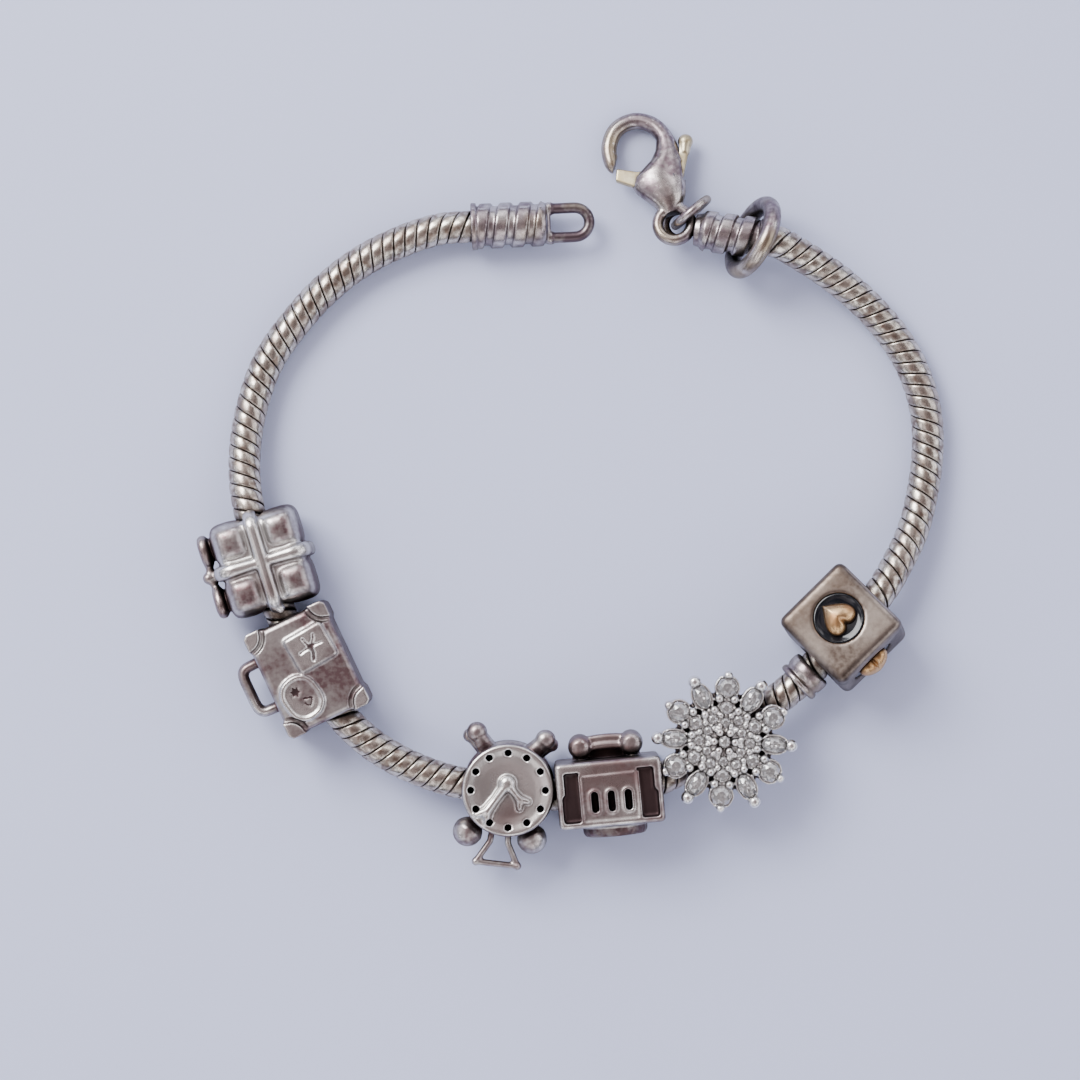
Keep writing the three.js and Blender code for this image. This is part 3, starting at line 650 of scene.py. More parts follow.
def spiral_sleeve(cap):
    """A turned sleeve along +X with a spiral ridge, a flange at its far end and a socket in it."""
    length = (Vector(cap["end"]) - Vector(cap["start"])).length
    wall, flange = cap["radius"] + 0.05 - RIDGE_HEIGHT, cap["flange"]
    rows = 110

    def ring(x, reach, ridge=0.0):
        """A ring of a radius, higher by the ridge where the spiral passes it."""
        corners = []
        for angle in turns(72):
            turn = (x / SPIRAL_PITCH + angle / (2 * pi)) % 1.0
            inside = RIDGE_SHARE / 2 - abs(turn - 0.5)
            radius = reach + ridge * min(max(inside / 0.07 + 0.5, 0.0), 1.0)
            corners.append(Vector((x, radius * cos(angle), radius * sin(angle))))
        return corners

    rings = [ring(0, 0.01), ring(0, wall * 0.8)]
    for row in range(rows + 1):
        x = 0.12 + (length - 0.67) * row / rows
        closeness = min(x / 0.5, 1.0, (length - 0.45 - x) / 0.2)
        rings.append(ring(x, wall, RIDGE_HEIGHT * max(closeness, 0.0)))
    socket, bottom = SOCKET["radius"], length - SOCKET["depth"]
    ends = ((length - 0.5, flange), (length, flange), (length, socket), (bottom, socket), (bottom, 0.01))
    return rings_joined(rings + [ring(x, reach) for x, reach in ends])


def sleeve_matrix(cap):
    start, end = Vector(cap["start"]), Vector(cap["end"])
    return frame_along(start, (end - start).normalized())


def loop_cap_mesh(settings):
    """The sleeve with its flat oval loop of wire, soldered into its closed end."""
    length, width, wire = (getattr(settings, key) / MM for key in ("loop_length", "loop_width", "wire"))
    half = width / 2 - wire
    far = length - wire - half
    route = [(0.9, half, 0), (-0.6, half, 0)]
    for angle in range(90, 271, 15):
        x, y = polar(half, angle)
        route.append((x - far, y, 0))
    route += [(-0.6, -half, 0), (0.9, -half, 0)]
    solder = bevelled_box((0.9, width - 0.35, 2 * wire + 0.1), 0.35, (0.1, 0, 0))
    fillets = [ball((-0.25, side * half, 0), wire * 1.25) for side in (-1, 1)]
    parts = [spiral_sleeve(LOOP_CAP), sweep(route, wire, steps=4), solder, *fillets]
    mesh = cast("loop_cap", parts, grain=0.085, soften=2)
    return mark_wear_and_painted_shade(mesh, lambda place: -0.45 if place.x < -0.4 else 0.1)


def clasp_cap_mesh():
    inverse = sleeve_matrix(CLASP_CAP).inverted()
    loop = hoop(HIDDEN_LOOP["radius"], HIDDEN_LOOP["wire"], 14, 48)
    x, y, z = HIDDEN_LOOP["centre"]
    stub = [inverse @ Vector(p) for p in ((x + 1.15, y - 0.65, z), (x + 2.6, y - 0.8, z + 0.75))]
    parts = [
        spiral_sleeve(CLASP_CAP),
        moved(loop, inverse @ Matrix.Translation(HIDDEN_LOOP["centre"])),
        rod(*stub, HIDDEN_LOOP["wire"] * 1.1),
        rod((-0.5, 0, 0), (0.5, 0, 0), 1.5, CLASP_CAP["radius"] - 0.25, sides=48),
    ]
    mesh = cast("clasp_cap", parts, grain=0.085, soften=2)
    return mark_wear_and_painted_shade(mesh, lambda place: 0.1)


class CapSettings(bpy.types.PropertyGroup):
    loop_length: size_setting("Loop length", "Length of the end loop out of its sleeve", 4.6)
    loop_width: size_setting("Loop width", "Width of the end loop over its wires", 3.85)
    wire: size_setting("Wire radius", "Radius of the end loop's wire", 0.53)
    colour: colour_setting("Silver", "Colour of polished silver", "#DDD6D2")


class BRACELET_OT_end_caps(bpy.types.Operator):
    """Makes the spiral sleeves that hold the chain's two ends, with their loops"""

    bl_idname = "bracelet.end_caps"
    bl_label = "End caps"

    def execute(self, context):
        settings = context.scene.bracelet_caps
        made = polished_silver(settings)
        for name, mesh, cap in (
            ("loop", loop_cap_mesh(settings), LOOP_CAP), ("clasp", clasp_cap_mesh(), CLASP_CAP)
        ):
            matrix = sleeve_matrix(cap)
            add_piece(name + "_sleeve", mesh, matrix, made, "chain_silver", name + "_end_cap")
        return {"FINISHED"}


class BRACELET_OT_rings(bpy.types.Operator):
    """Makes the jump ring and the thick ring that stops the charms"""

    bl_idname = "bracelet.rings"
    bl_label = "Rings"

    def execute(self, context):
        made = polished_silver(context.scene.bracelet_caps)
        jump = gathered("jump", [hoop(JUMP_RING["radius"], JUMP_RING["wire"], 20, 80)])
        matrix = placed(JUMP_RING["centre"], 90, 0, JUMP_RING["heading"])
        add_piece("jump_ring_wire", jump, matrix, made, "chain_silver", "jump_ring")
        stopper = gathered("stopper", [hoop(STOPPER["radius"], STOPPER["wire"], 36, 120)])
        matrix = placed(STOPPER["centre"], 0, 90 - STOPPER["lean"], STOPPER["heading"])
        add_piece("stopper_ring_thick", stopper, matrix, made, "chain_silver", "stopper_ring")
        return {"FINISHED"}


# ---- the lobster clasp: eye at its origin, hook towards +Y ----
LEVER_PIVOT = (1.3, 4.3)
LEVER_OPENS = 22  # degrees
PIN_RADIUS = 0.3
PIN_HOLE = 0.42  # radius of the lever's hole, which is loose on the pin
HOOK = [  # x, y and the wire's radius, from the body round to the tip
    (2.4, 5.6, 0.7), (2.22, 6.8, 0.78), (2.12, 8.3, 0.8), (1.42, 10.15, 0.8), (-0.15, 11.22, 0.8),
    (-2.0, 11.02, 0.79), (-3.28, 9.6, 0.77), (-3.62, 8.0, 0.72), (-3.58, 7.4, 0.6), (-3.4, 7.05, 0.4),
]
CLASP_SECTIONS = [  # y, left edge, right edge and half the thickness
    (0.9, -0.75, 0.8, 0.62), (1.7, -0.95, 1.5, 0.95), (2.5, -1.35, 2.05, 1.2), (3.4, -1.95, 2.4, 1.35),
    (4.2, -2.4, 2.6, 1.42), (4.9, -2.6, 2.78, 1.42), (5.6, -2.2, 2.9, 1.38), (6.2, -1.1, 2.95, 1.3),
    (6.8, 0.0, 2.96, 1.18), (7.6, 0.75, 2.95, 1.02), (8.6, 1.2, 2.86, 0.86), (9.4, 1.15, 2.4, 0.7),
]
LEVER_OUTLINE = [
    (-3.35, 7.1), (-1.7, 6.2), (0.6, 5.5), (2.1, 5.6), (2.8, 6.6), (3.3, 7.85), (3.9, 7.95),
    (4.2, 7.2), (3.5, 6.0), (2.4, 4.2), (1.4, 3.5), (0.2, 3.8), (-2.3, 4.75), (-3.85, 6.05),
]
LEVER_TAB = (3.8, 7.5, 0)


class ClaspSettings(bpy.types.PropertyGroup):
    eye_radius: size_setting("Eye radius", "Radius of the clasp's eye to the middle of its wall", 1.6)
    eye_wire: size_setting("Eye wall", "Half the thickness of the eye's wall", 0.56)
    lever: size_setting("Lever thickness", "Thickness of the sprung lever", 0.8)


def body_loft():
    rings = []
    for y, left, right, half in CLASP_SECTIONS:
        middle, reach = (left + right) / 2, (right - left) / 2
        rings.append([Vector((middle + reach * cos(a), y, half * sin(a))) for a in turns(40)])
    return rings_joined(rings)


def lever_swing(angle):
    """Opens the lever by degrees and grows it a little, for the room that it swings in."""
    pivot = Vector((*LEVER_PIVOT, 0))
    grow = Matrix.Diagonal((1.05, 1.113, 1, 1))
    return placed(pivot, 0, 0, -angle) @ grow @ Matrix.Translation(-pivot)


def clasp_body_mesh(settings):
    eye, wall, lever = (getattr(settings, key) / MM for key in ("eye_radius", "eye_wire", "lever"))
    hook = sweep([(x, y, 0) for x, y, _ in HOOK], [r for _, _, r in HOOK], 24, steps=8)
    parts = [hook, body_loft(), hoop(eye, wall, 24, 64, tall=1.15), ball((-3.42, 7.08, 0), 0.38)]
    half = (lever + 0.3) / 2
    blank = prism(LEVER_OUTLINE, -half, half)
    cuts = [moved(blank, lever_swing(angle)) for angle in range(0, LEVER_OPENS + 3, 4)]
    cuts.append(rod((0, 0, -3), (0, 0, 3), eye - wall + 0.06))
    return cast("clasp_body", parts, cuts, grain=0.095, soften=4)


def clasp_lever_mesh(settings):
    half = settings.lever / MM / 2
    x, y = LEVER_PIVOT
    parts = [
        prism(LEVER_OUTLINE, -half, half),
        ball(LEVER_TAB, 0.74, (1, 1, 0.9)),
        rod((3.3, 6.4, 0), LEVER_TAB, 0.5, 0.66),
    ]
    return cast("clasp_lever", parts, [rod((x, y, -1), (x, y, 1), PIN_HOLE)], grain=0.07, soften=2)


class BRACELET_OT_clasp(bpy.types.Operator):
    """Makes the lobster clasp: its puffed body with hook and eye, its pin, and its lever"""

    bl_idname = "bracelet.clasp"
    bl_label = "Lobster clasp"

    def execute(self, context):
        settings = context.scene.bracelet_clasp
        matrix = placed(CLASP["eye"], -CLASP["drop"], 0, CLASP["heading"])
        made = polished_silver(context.scene.bracelet_caps)
        body = clasp_body_mesh(settings)
        add_piece("clasp_hook_and_eye", body, matrix, made, "chain_silver", "clasp_body")
        x, y = LEVER_PIVOT
        reach = CLASP["thickness"] / 2 - 0.2
        pin = gathered("pin", [rod((x, y, -reach), (x, y, reach), PIN_RADIUS)])
        add_piece("clasp_pin", pin, matrix, made, "chain_silver")
        add_piece(
            "clasp_thumb_lever", clasp_lever_mesh(settings), matrix, yellowed_silver(), "chain_silver",
            "clasp_lever", body="lever",
        )
        return {"FINISHED"}


# ---- charms, each in its own frame: +X along the chain, +Y to the bracelet's inside, +Z up ----
class CharmSettings(bpy.types.PropertyGroup):
    bore: size_setting("Bore radius", "Radius of the hole that the chain runs through", 2.15)
    ribbon: size_setting("Ribbon width", "Width of the ribbon round the gift box", 1.3)
    dial_hole: size_setting("Dial hole", "Radius of the hour holes in the clock's dial", 0.33)
    colour: colour_setting("Silver", "Colour of cast silver where it is rubbed bright", "#E2DEDA")


CORNERS = [(x, y) for x in (-1, 1) for y in (-1, 1)]


def charm_matrix(name):
    charm = CHARMS[name]
    return placed(charm["at"], charm.get("roll", 0), 0, charm["heading"])


def chain_bore(settings, name):
    """The straight hole along the chain's chord through a charm, in the charm's own frame."""
    charm = CHARMS[name]
    length = charm["size"][0]
    nearest = CHAIN.nearest(charm["at"])
    inverse = charm_matrix(name).inverted()
    places = (nearest - length / 2, nearest, nearest + length / 2)
    a, centre, b = [inverse @ CHAIN.point(place) for place in places]
    bow = (centre - (a + b) / 2) / 2
    along = (b - a).normalized() * length
    return rod(a + bow - along, b + bow + along, settings.bore / MM, sides=40)


def gift_mesh(settings):
    """Four puffed quarters tied with crossed ribbons, and a flat double bow on the outer side."""
    length, width, height = CHARMS["gift"]["size"]
    ribbon = settings.ribbon / MM
    parts = [bevelled_box((length - 0.9, width - 0.9, height - 1.3), 0.8)]
    gap = ribbon * 0.62
    quarter = ((length - gap) / 2, (width - gap) / 2, height - 0.2)
    for x, y in CORNERS:
        centre = (x * (length - quarter[0]) / 2, y * (width - quarter[1]) / 2, 0)
        parts.append(pillow(quarter, centre))
    lengthways = evenly([(x, 0, z) for x, z in rounded_outline(length, height - 0.62, 1.5, 8)], 96)
    crossways = evenly([(0, y, z) for y, z in rounded_outline(width, height - 0.72, 1.5, 8)], 96)
    flare = [ribbon * (0.36 + 0.2 * min(abs(point.y) * 2 / width, 1)) for point in crossways]
    out = -width / 2 - 0.8
    parts += [
        sweep(lengthways, ribbon * 0.5, 18, closed=True, tall=0.62, across=(0, 1, 0)),
        sweep(crossways, flare, 18, closed=True, tall=0.66, across=(1, 0, 0)),
        ball((0, 0, height / 2 - 0.3), 0.62, (1.15, 1, 0.62)),
        ball((length / 2 + 0.05, 0.3, height / 2 - 1.2), 0.5),
        ball((0, out - 0.42, 0), 0.6),
        rod((0, -width / 2 + 0.6, 0), (0, out - 0.3, 0), 0.5),
    ]
    for side in (-1, 1):
        loop = []
        for angle in turns(28):
            swell = 0.8 + 0.25 * cos(angle)
            loop.append((side * (2.5 + 1.1 * cos(angle)), out, 0.95 * swell * sin(angle)))
        parts += [
            sweep(loop, 0.56, 14, closed=True),
            ball((side * 2.6, out, 0), 1.2, (1.0, 0.26, 0.85)),
            rod((0, out - 0.15, 0), (side * 1.6, out, 0), 0.42, 0.36),
        ]

    def rubbed(place):
        if abs(place.y) > width / 2 + 0.3:
            return 0.5
        # Painted shade: the sides and underside, from a little under the top downwards, are darkened.
        side = min(max((0.36 * height - place.z) / (0.12 * height), 0.0), 1.0)
        reach = max(abs(abs(place.x) / length - 0.27), abs(abs(place.y) / width - 0.27)) / 0.23
        ribboned = min(abs(place.x), abs(place.y)) < 0.4 * ribbon
        crown = 0.7 if ribboned else min(max(1.4 * (reach - 0.4), -0.05), 0.5)
        return crown * (1 - side) - 0.6 * side

    return mark_wear_and_painted_shade(cast("gift", parts, [chain_bore(settings, "gift")], grain=0.12), rubbed)


def scratch(points, height, radius=0.15):
    """An engraved line through (x, y) points in a face at a height."""
    return sweep([(x, y, height) for x, y in points], radius, 10)


def palm_mark(height):
    """A leafy tree lying across the label: a trunk with leaves on both sides of its crown."""
    crown = (-0.1, 0.05)
    leaves = [(-1.2, 0.9), (-1.25, -0.3), (0.05, 1.35), (0.0, -1.3)]
    marks = [scratch([crown, (0.6, 0.0), (1.3, -0.4)], height, 0.2)]
    for x, y in leaves:
        marks.append(scratch([crown, (x * 0.5, y * 0.7), (x, y)], height))
    return marks


def star_mark(height):
    """A small star and a chevron on the badge."""
    marks = []
    for k in range(3):
        x, y = polar(0.55, 60 * k)
        marks.append(scratch([(-0.85 - x, -0.2 - y), (-0.85 + x, -0.2 + y)], height, 0.11))
    marks.append(scratch([(0.1, 0.0), (0.5, 0.85), (1.1, 0.2), (0.5, -0.1)], height, 0.12))
    return marks


def suitcase_mesh(settings):
    """A slim case with capped corners, a square label, an oval badge and a strap handle."""
    length, width, height = CHARMS["suitcase"]["size"]
    top = height / 2
    face = top - 0.3
    parts = [bevelled_box((length - 0.3, width - 0.3, 2 * face), 0.6, segments=6)]
    cuts = [chain_bore(settings, "suitcase")]
    for x, y in CORNERS:
        corner_x, corner_y = x * (length / 2 + 0.02), y * (width / 2 + 0.02)
        inward = [polar(1.75, 90 * step / 8) for step in range(9)]
        arc = [(corner_x - x * in_x, corner_y - y * in_y) for in_x, in_y in inward]
        outline = [(corner_x - x * 0.4, corner_y), (corner_x, corner_y - y * 0.4), *arc[::-1]]
        parts.append(prism(outline, -face - 0.16, face + 0.16))
        for z in (-face, face):
            cuts.append(sweep([(px - x * 0.14, py - y * 0.14, z) for px, py in arc], 0.3, 10))
    label = {"at": (-1.75, 1.25, 0), "turn_z": 5}
    badge = {"at": (2.25, -1.5, 0), "turn_z": 12}
    plate = bevelled_box((3.8, 4.2, height + 0.1), 0.42, segments=5)
    parts.append(turned_to(plate, **label))
    parts.append(turned_to(prism(rounded_outline(4.4, 3.7, 1.7), -top, top), **badge))
    for z in (-top, top):
        cuts += [turned_to(shell, **label) for shell in palm_mark(z * 1.01)]
        stamp = [prism(rounded_outline(3.8, 3.1, 1.4), z - 0.14, z + 0.14), *star_mark(z * 0.965)]
        cuts += [turned_to(shell, **badge) for shell in stamp]
    y = -width / 2
    handle = [
        (-2.6, y + 0.5, 0), (-2.6, y - 0.6, 0), (-2.5, y - 1.35, 0), (-2.1, y - 1.7, 0),
        (-0.3, y - 1.8, 0), (1.5, y - 1.7, 0), (1.9, y - 1.35, 0), (2.0, y - 0.6, 0), (2.0, y + 0.5, 0),
    ]
    parts.append(sweep(handle, 0.54, 16, tall=1.3, steps=5))

    def rubbed(place):
        depth = top - abs(place.z)
        x, y, _ = label["at"]
        if max(abs(place.x - x) - 1.45, abs(place.y - y) - 1.6) < 0 and 0.03 < depth < 0.5:
            return -0.6
        x, y, _ = badge["at"]
        if hypot((place.x - x) / 1.75, (place.y - y) / 1.4) < 1:
            return -0.75 if depth > 0.19 else 0.1
        if depth < 0.25 or place.y < -width / 2 - 0.2:
            return 0.2
        # Painted shade: the upright sides are darkened, most where they are furthest from the faces.
        return -0.1 if depth < 0.7 else -0.5

    return mark_wear_and_painted_shade(cast("suitcase", parts, cuts, soften=2), rubbed)


def clock_hand(hub, end, level, width):
    """A tapered hand whose end is forked like a fish's tail."""
    start, tip = Vector((*hub, level)), Vector((*end, level))
    forward = (tip - start).normalized()
    aside = Vector((-forward.y, forward.x, 0))
    middle, root = start.lerp(tip, 0.55), tip - forward * 0.25
    shells = [sweep([start, middle, root], [0.5 * width, 0.4 * width, 0.52 * width], 14)]
    for side in (-1, 1):
        point = tip + forward * 0.45 * width + aside * side * 0.62 * width
        shells.append(sweep([tip - forward * 0.35, point], [0.46 * width, 0.32 * width], 14))
        shells.append(ball(point, 0.32 * width))
    return shells


def clock_mesh(settings):
    """A double-bell alarm clock: dished dial with hour holes and hands, feet, bells and a handle."""
    diameter, _, height = CHARMS["clock"]["size"]
    half, top = diameter / 2, height / 2
    dish = [(0.0, top - 0.42), (1.6, top - 0.4), (2.6, top - 0.33), (3.3, top - 0.22), (3.9, top - 0.06)]
    rim = [(4.2, top - 0.02), (half - 0.06, top - 0.2), (half, top - 0.5), (half - 0.1, top - 0.95)]
    above = [*dish, *rim, (half - 0.35, top - 1.15), (half - 0.35, 0)]
    below = [(r, -z) for r, z in reversed(above[:-1])]
    parts = [lathe([*above, *below], 72)]
    cuts = [chain_bore(settings, "clock")]
    for hour in range(12):
        x, y = polar(3.55, 96.6 + 30 * hour)
        cuts.append(rod((x, y, top - 0.95), (x, y, top + 0.5), settings.dial_hole / MM))
    hub = (-0.14, 0.62)
    level = top - 0.1
    parts.append(ball((*hub, level), 0.82, (1, 1, 0.6)))
    parts += clock_hand(hub, (-1.95, -2.5), level, 1.0) + clock_hand(hub, (1.4, -0.95), level, 0.85)
    middle = -0.3
    for side in (-1, 1):
        foot = (middle + 3.3 * side, 5.05, 1.2)
        heel = (middle + 3.95 * side, 4.5, -1.4)
        bell = Vector((middle + 3.1 * side, -4.55, 0.6))
        inward = Vector((-0.55 * side, 0.83, 0))
        parts += [
            ball(foot, 1.0, (1.0, 1.0, 0.85)),
            rod((middle + 2.0 * side, 3.4, 0.7), foot, 1.0, 0.75),
            ball(heel, 0.7),
            rod((middle + 2.3 * side, 3.0, -1.4), heel, 0.6, 0.55),
            ball(bell, 1.42, (1.02, 1.02, 0.98)),
            rod(bell + inward * 0.1, bell + inward * 0.45, 1.46, 1.4, sides=36),
            rod(bell + inward * 0.4, bell + inward * 2.2, 1.05, 0.5),
        ]
    bail = [(-0.8, -4.2), (-0.85, -5.2), (-2.0, -7.3), (2.0, -7.3), (0.85, -5.2), (0.8, -4.2)]
    wire = [(middle + x, y, 0.6) for x, y in bail]
    parts += [rod(a, b, 0.32) for a, b in zip(wire, wire[1:])]
    parts += [ball(corner, 0.42) for corner in wire[2:4]]

    def rubbed(place):
        reach = hypot(place.x, place.y)
        # Painted shade: the rim's outer edge, the drum's side and the underside are darkened a little; the
        # feet, bells and handle are not.
        if reach > 4.3 or place.z < top - 0.62:
            return 0.12 if reach > 4.9 else -0.15
        proud = place.z > top - 0.1 and reach < 3.2
        return 1.0 if proud else min(0.45 + 0.2 * reach, 1.0)

    return mark_wear_and_painted_shade(cast("clock", parts, cuts, soften=2), rubbed)


def telephone_mesh(settings):
    """A desk telephone: raised frame and slotted panel on top, handset behind, dial in front."""
    length, width, height = CHARMS["telephone"]["size"]
    top = height / 2
    floor = top - 0.7
    front, back = -width / 2, width / 2
    low = back - 0.95
    hollows = [
        bevelled_box((length - 1.55, low, 1.4), 0.06, (0, low / 2, top), segments=1),
        bevelled_box((length - 1.0, width / 2 - 0.6, 1.4), 0.06, (0, front / 2 + 0.3, top), segments=1),
    ]
    carved = cast("carved", [bevelled_box((length, width, height), 0.4)], hollows, grain=0.1, soften=0)
    shell = [v.co.copy() for v in carved.vertices], [list(face.vertices) for face in carved.polygons]
    bpy.data.meshes.remove(carved)
    plan = [(-2.75, front + 0.4), (2.9, front + 0.4), (2.65, 2.1), (-2.85, 2.0)]
    panel = prism(plan, floor - 0.2, top - 0.12)
    brow = sweep([(-2.8, 1.95, top - 0.16), (2.65, 2.05, top - 0.16)], 0.17, 12)
    sides = [sweep([(x, front + 0.5, top - 0.14), (x, 1.9, top - 0.14)], 0.15, 12) for x in (-2.82, 2.76)]
    parts = [shell, panel, brow, *sides]
    cuts = [chain_bore(settings, "telephone")]
    for x in (-1.6, 0.0, 1.6):
        place = (x + 0.1, -0.75, 0)
        parts.append(turned_to(prism(rounded_outline(1.12, 2.35, 0.5), floor, top - 0.02), place))
        cuts.append(turned_to(prism(rounded_outline(0.66, 2.0, 0.3), floor - 0.3, top + 0.3), place))
    out, level = back + 1.35, 1.35
    cup = [
        (0, -1.0), (0.85, -1.0), (1.08, -0.75), (1.15, 0.1), (1.07, 0.6), (0.78, 0.95), (0.35, 1.1),
        (0, 1.12),
    ]
    for side in (-1, 1):
        parts.append(turned_to(lathe(cup, 36), (2.45 * side, out, level), 14, 0, 0))
        parts.append(rod((2.5 * side, back - 0.4, 0.4), (2.5 * side, out - 0.2, 0.4), 0.75))
    bow = [(-2.6, 0.18), (-1.3, 0.34), (0, 0.4), (1.3, 0.34), (2.6, 0.18)]
    for aside, radius, rise in ((0.36, 0.4, 0.1), (-0.32, 0.42, 0.22)):
        grip = [(x, out + y + aside - 0.1, level + rise) for x, y in bow]
        parts.append(sweep(grip, radius, 14, steps=6))
    # A block behind the body under the handset; the marks at the end of this function paint it dark as
    # shade.
    parts.append(bevelled_box((5.2, 1.9, 1.0), 0.2, (0, back + 0.6, -0.1)))
    dial = [
        (0, 1.12), (1.1, 1.12), (1.2, 0.95), (2.5, 0.95), (2.65, 1.12), (2.9, 1.05), (3.1, 0.7),
        (3.1, -0.4), (0, -0.4),
    ]
    parts.append(turned_to(lathe(dial, 56), (0.25, front, 0), 90, 0, 0))
    for k in range(10):
        x, up = polar(1.85, -60 + 30 * k)
        cuts.append(rod((x + 0.25, front - 1.4, up), (x + 0.25, front - 0.55, up), 0.36))
        x, up = polar(3.1, -60 + 30 * k)
        cuts.append(ball((x + 0.25, front - 0.75, up), 0.2))

    def rubbed(place):
        inside = abs(place.x) < length / 2 - 0.45 and front + 0.25 < place.y < low + 0.1
        if inside and place.z < top - 0.35:
            return -0.75
        # Painted shade under the handset: the block, rods and lower cups behind the body are darkened.
        if place.y > back + 0.1 and place.z < 0.6:
            return -0.8
        # Painted shade on the dial, an upright face at the front.
        if place.y < front - 0.3:
            return -0.4
        return 0.3 if place.y > back + 0.1 else 0.1

    return mark_wear_and_painted_shade(cast("telephone", parts, cuts, soften=2), rubbed)


class BRACELET_OT_cast_charms(bpy.types.Operator):
    """Makes the gift box, suitcase, alarm clock and telephone, each cast in one with its details"""

    bl_idname = "bracelet.cast_charms"
    bl_label = "Cast charms"

    def execute(self, context):
        settings = context.scene.bracelet_charms
        made = oxidised_cast_silver(settings)
        charms = {
            "gift": ("gift_box", gift_mesh), "suitcase": ("travel_suitcase", suitcase_mesh),
            "clock": ("alarm_clock", clock_mesh), "telephone": ("desk_telephone", telephone_mesh),
        }
        for name, (piece, shape) in charms.items():
            matrix = charm_matrix(name)
            add_piece(piece, shape(settings), matrix, made, "cast_silver", name + "_charm")
        return {"FINISHED"}


# ---- the snowflake ----
STAR_TURN = 26.6  # the first round-stone arm's direction seen from above, in degrees
STAR_TOP = 3.75  # height of the star plate's face above the charm's middle
STAR_BOTTOM = 2.45
ARMS = 12
ROUND_ARM = [(5.15, 2.05), (3.2, 1.35), (1.85, 1.0)]  # how far out each stone is, and its diameter
LONG_ARM = {"far": 4.75, "width": 1.6, "length": 2.55}
LONG_ARM_STONE = (2.45, 1.05)
# The bead at an arm's tip and the pairs of beads beside it: how far out, how far aside, and radius.
LONG_ARM_BEADS = (6.35, 0, 0.64), [(3.15, 0.5, 0.4), (1.6, 0.34, 0.28)]
ROUND_ARM_BEADS = (6.3, 0, 0.46), [(4.05, 0.72, 0.42), (2.5, 0.5, 0.32)]


def arm_direction(arm):
    turn = STAR_TURN - CHARMS["snowflake"]["heading"] + 30 * arm
    return Vector((*polar(1, turn), 0)), turn


def stone_places():
    """Each stone's place and turn, its width, and how much longer than wide it is."""
    for arm in range(ARMS):
        out, turn = arm_direction(arm)
        round_stones = [(far, width, 1.0) for far, width in ROUND_ARM]
        stretch = LONG_ARM["length"] / LONG_ARM["width"]
        long_stones = [(LONG_ARM["far"], LONG_ARM["width"], stretch), (*LONG_ARM_STONE, 1.0)]
        for far, width, longer in long_stones if arm % 2 else round_stones:
            place = out * far
            yield placed((place.x, place.y, STAR_TOP), 0, 0, turn), width, longer
    yield placed((0, 0, STAR_TOP + 0.25)), 1.2, 1.0


def snowflake_silver_mesh(settings):
    """The barrel, the star plate with a seat under each stone, and the beads that grip them."""
    length, width, _ = CHARMS["snowflake"]["size"]
    half = width / 2
    edge = [(1, 0.3), (0.97, 0.42), (0.84, 0.5), (0, 0.5)]
    barrel = [(reach, -along) for reach, along in reversed(edge)] + edge
    parts = [turned_to(lathe([(r * half, x * length) for r, x in barrel], 48), (0, 0, 0), 0, 90, 0)]
    low, high = STAR_BOTTOM, STAR_TOP - 0.05
    parts.append(rod((0, 0, low), (0, 0, high), 2.6, sides=48))
    parts.append(rod((0, 0, low - 0.3), (0, 0, low + 0.35), 4.7, sides=60))
    cuts = [chain_bore(settings, "snowflake")]
    disc = rounded_outline(1, 1, 0.5, 8)
    for matrix, width, longer in stone_places():
        flat = matrix.copy()
        flat.translation.z = 0
        seat = Matrix.Diagonal((width * longer + 0.42, width + 0.38, 1, 1))
        parts.append(moved(prism(disc, low, high), flat @ seat))
        well = Matrix.Diagonal((width * longer - 0.12, width - 0.14, 1, 1))
        cuts.append(moved(prism(disc, high - 0.8, high + 0.6), flat @ well))
    for arm in range(ARMS):
        out, _ = arm_direction(arm)
        aside = Vector((-out.y, out.x, 0))
        tip, pairs = LONG_ARM_BEADS if arm % 2 else ROUND_ARM_BEADS
        beads = [tip, *pairs, *((far, -side, size) for far, side, size in pairs)]
        parts.append(rod(out * 1.0 + Vector((0, 0, 2.9)), out * 5.4 + Vector((0, 0, 2.9)), 0.5))
        for far, side, size in beads:
            x, y, _ = out * far + aside * side
            parts.append(rod((x, y, low + 0.2), (x, y, STAR_TOP), size * 0.9))
            parts.append(ball((x, y, STAR_TOP + 0.1), size))
    for k in range(6):
        out, _ = arm_direction(2 * k + 1)
        parts.append(ball((1.0 * out.x, 1.0 * out.y, STAR_TOP + 0.25), 0.4))
    mesh = cast("snowflake", parts, cuts, grain=0.1, soften=1)

    def rubbed(place):
        # Painted shade: the band round the star plate's rim and under it, beside the barrel, is darkened.
        if 2.05 < place.z < 2.9:
            return -0.75
        return 0.7 if place.z > 2 else 0.0

    return mark_wear_and_painted_shade(mesh, rubbed)


def cut_stone(width, longer, facets=8):
    """A brilliant-cut stone: table, crown, girdle and pavilion, with its girdle at height 0."""
    radius = width / 2
    rows = [  # share of the radius, height as a share of it, and half turns of each row
        (0.02, -0.74, 0.0), (0.55, -0.42, 0.5), (0.97, -0.06, 0.0), (1.0, 0.04, 0.0), (0.78, 0.34, 0.5),
        (0.46, 0.54, 0.0),
    ]
    corners, faces = [], []
    for share, height, turn in rows:
        for k in range(facets):
            angle = 2 * pi * (k + turn) / facets
            x, y = share * radius * cos(angle), share * radius * sin(angle)
            corners.append(Vector((longer * x, y, height * radius)))
    for row in range(len(rows) - 1):
        turned = rows[row + 1][2] > rows[row][2]
        for i in range(facets):
            j = (i + 1) % facets
            a, b = row * facets + i, row * facets + j
            d, c = a + facets, b + facets
            faces += [[a, b, d], [b, c, d]] if turned else [[a, b, c], [a, c, d]]
    faces.append(list(range(facets))[::-1])
    faces.append([(len(rows) - 1) * facets + i for i in range(facets)])
    return corners, faces


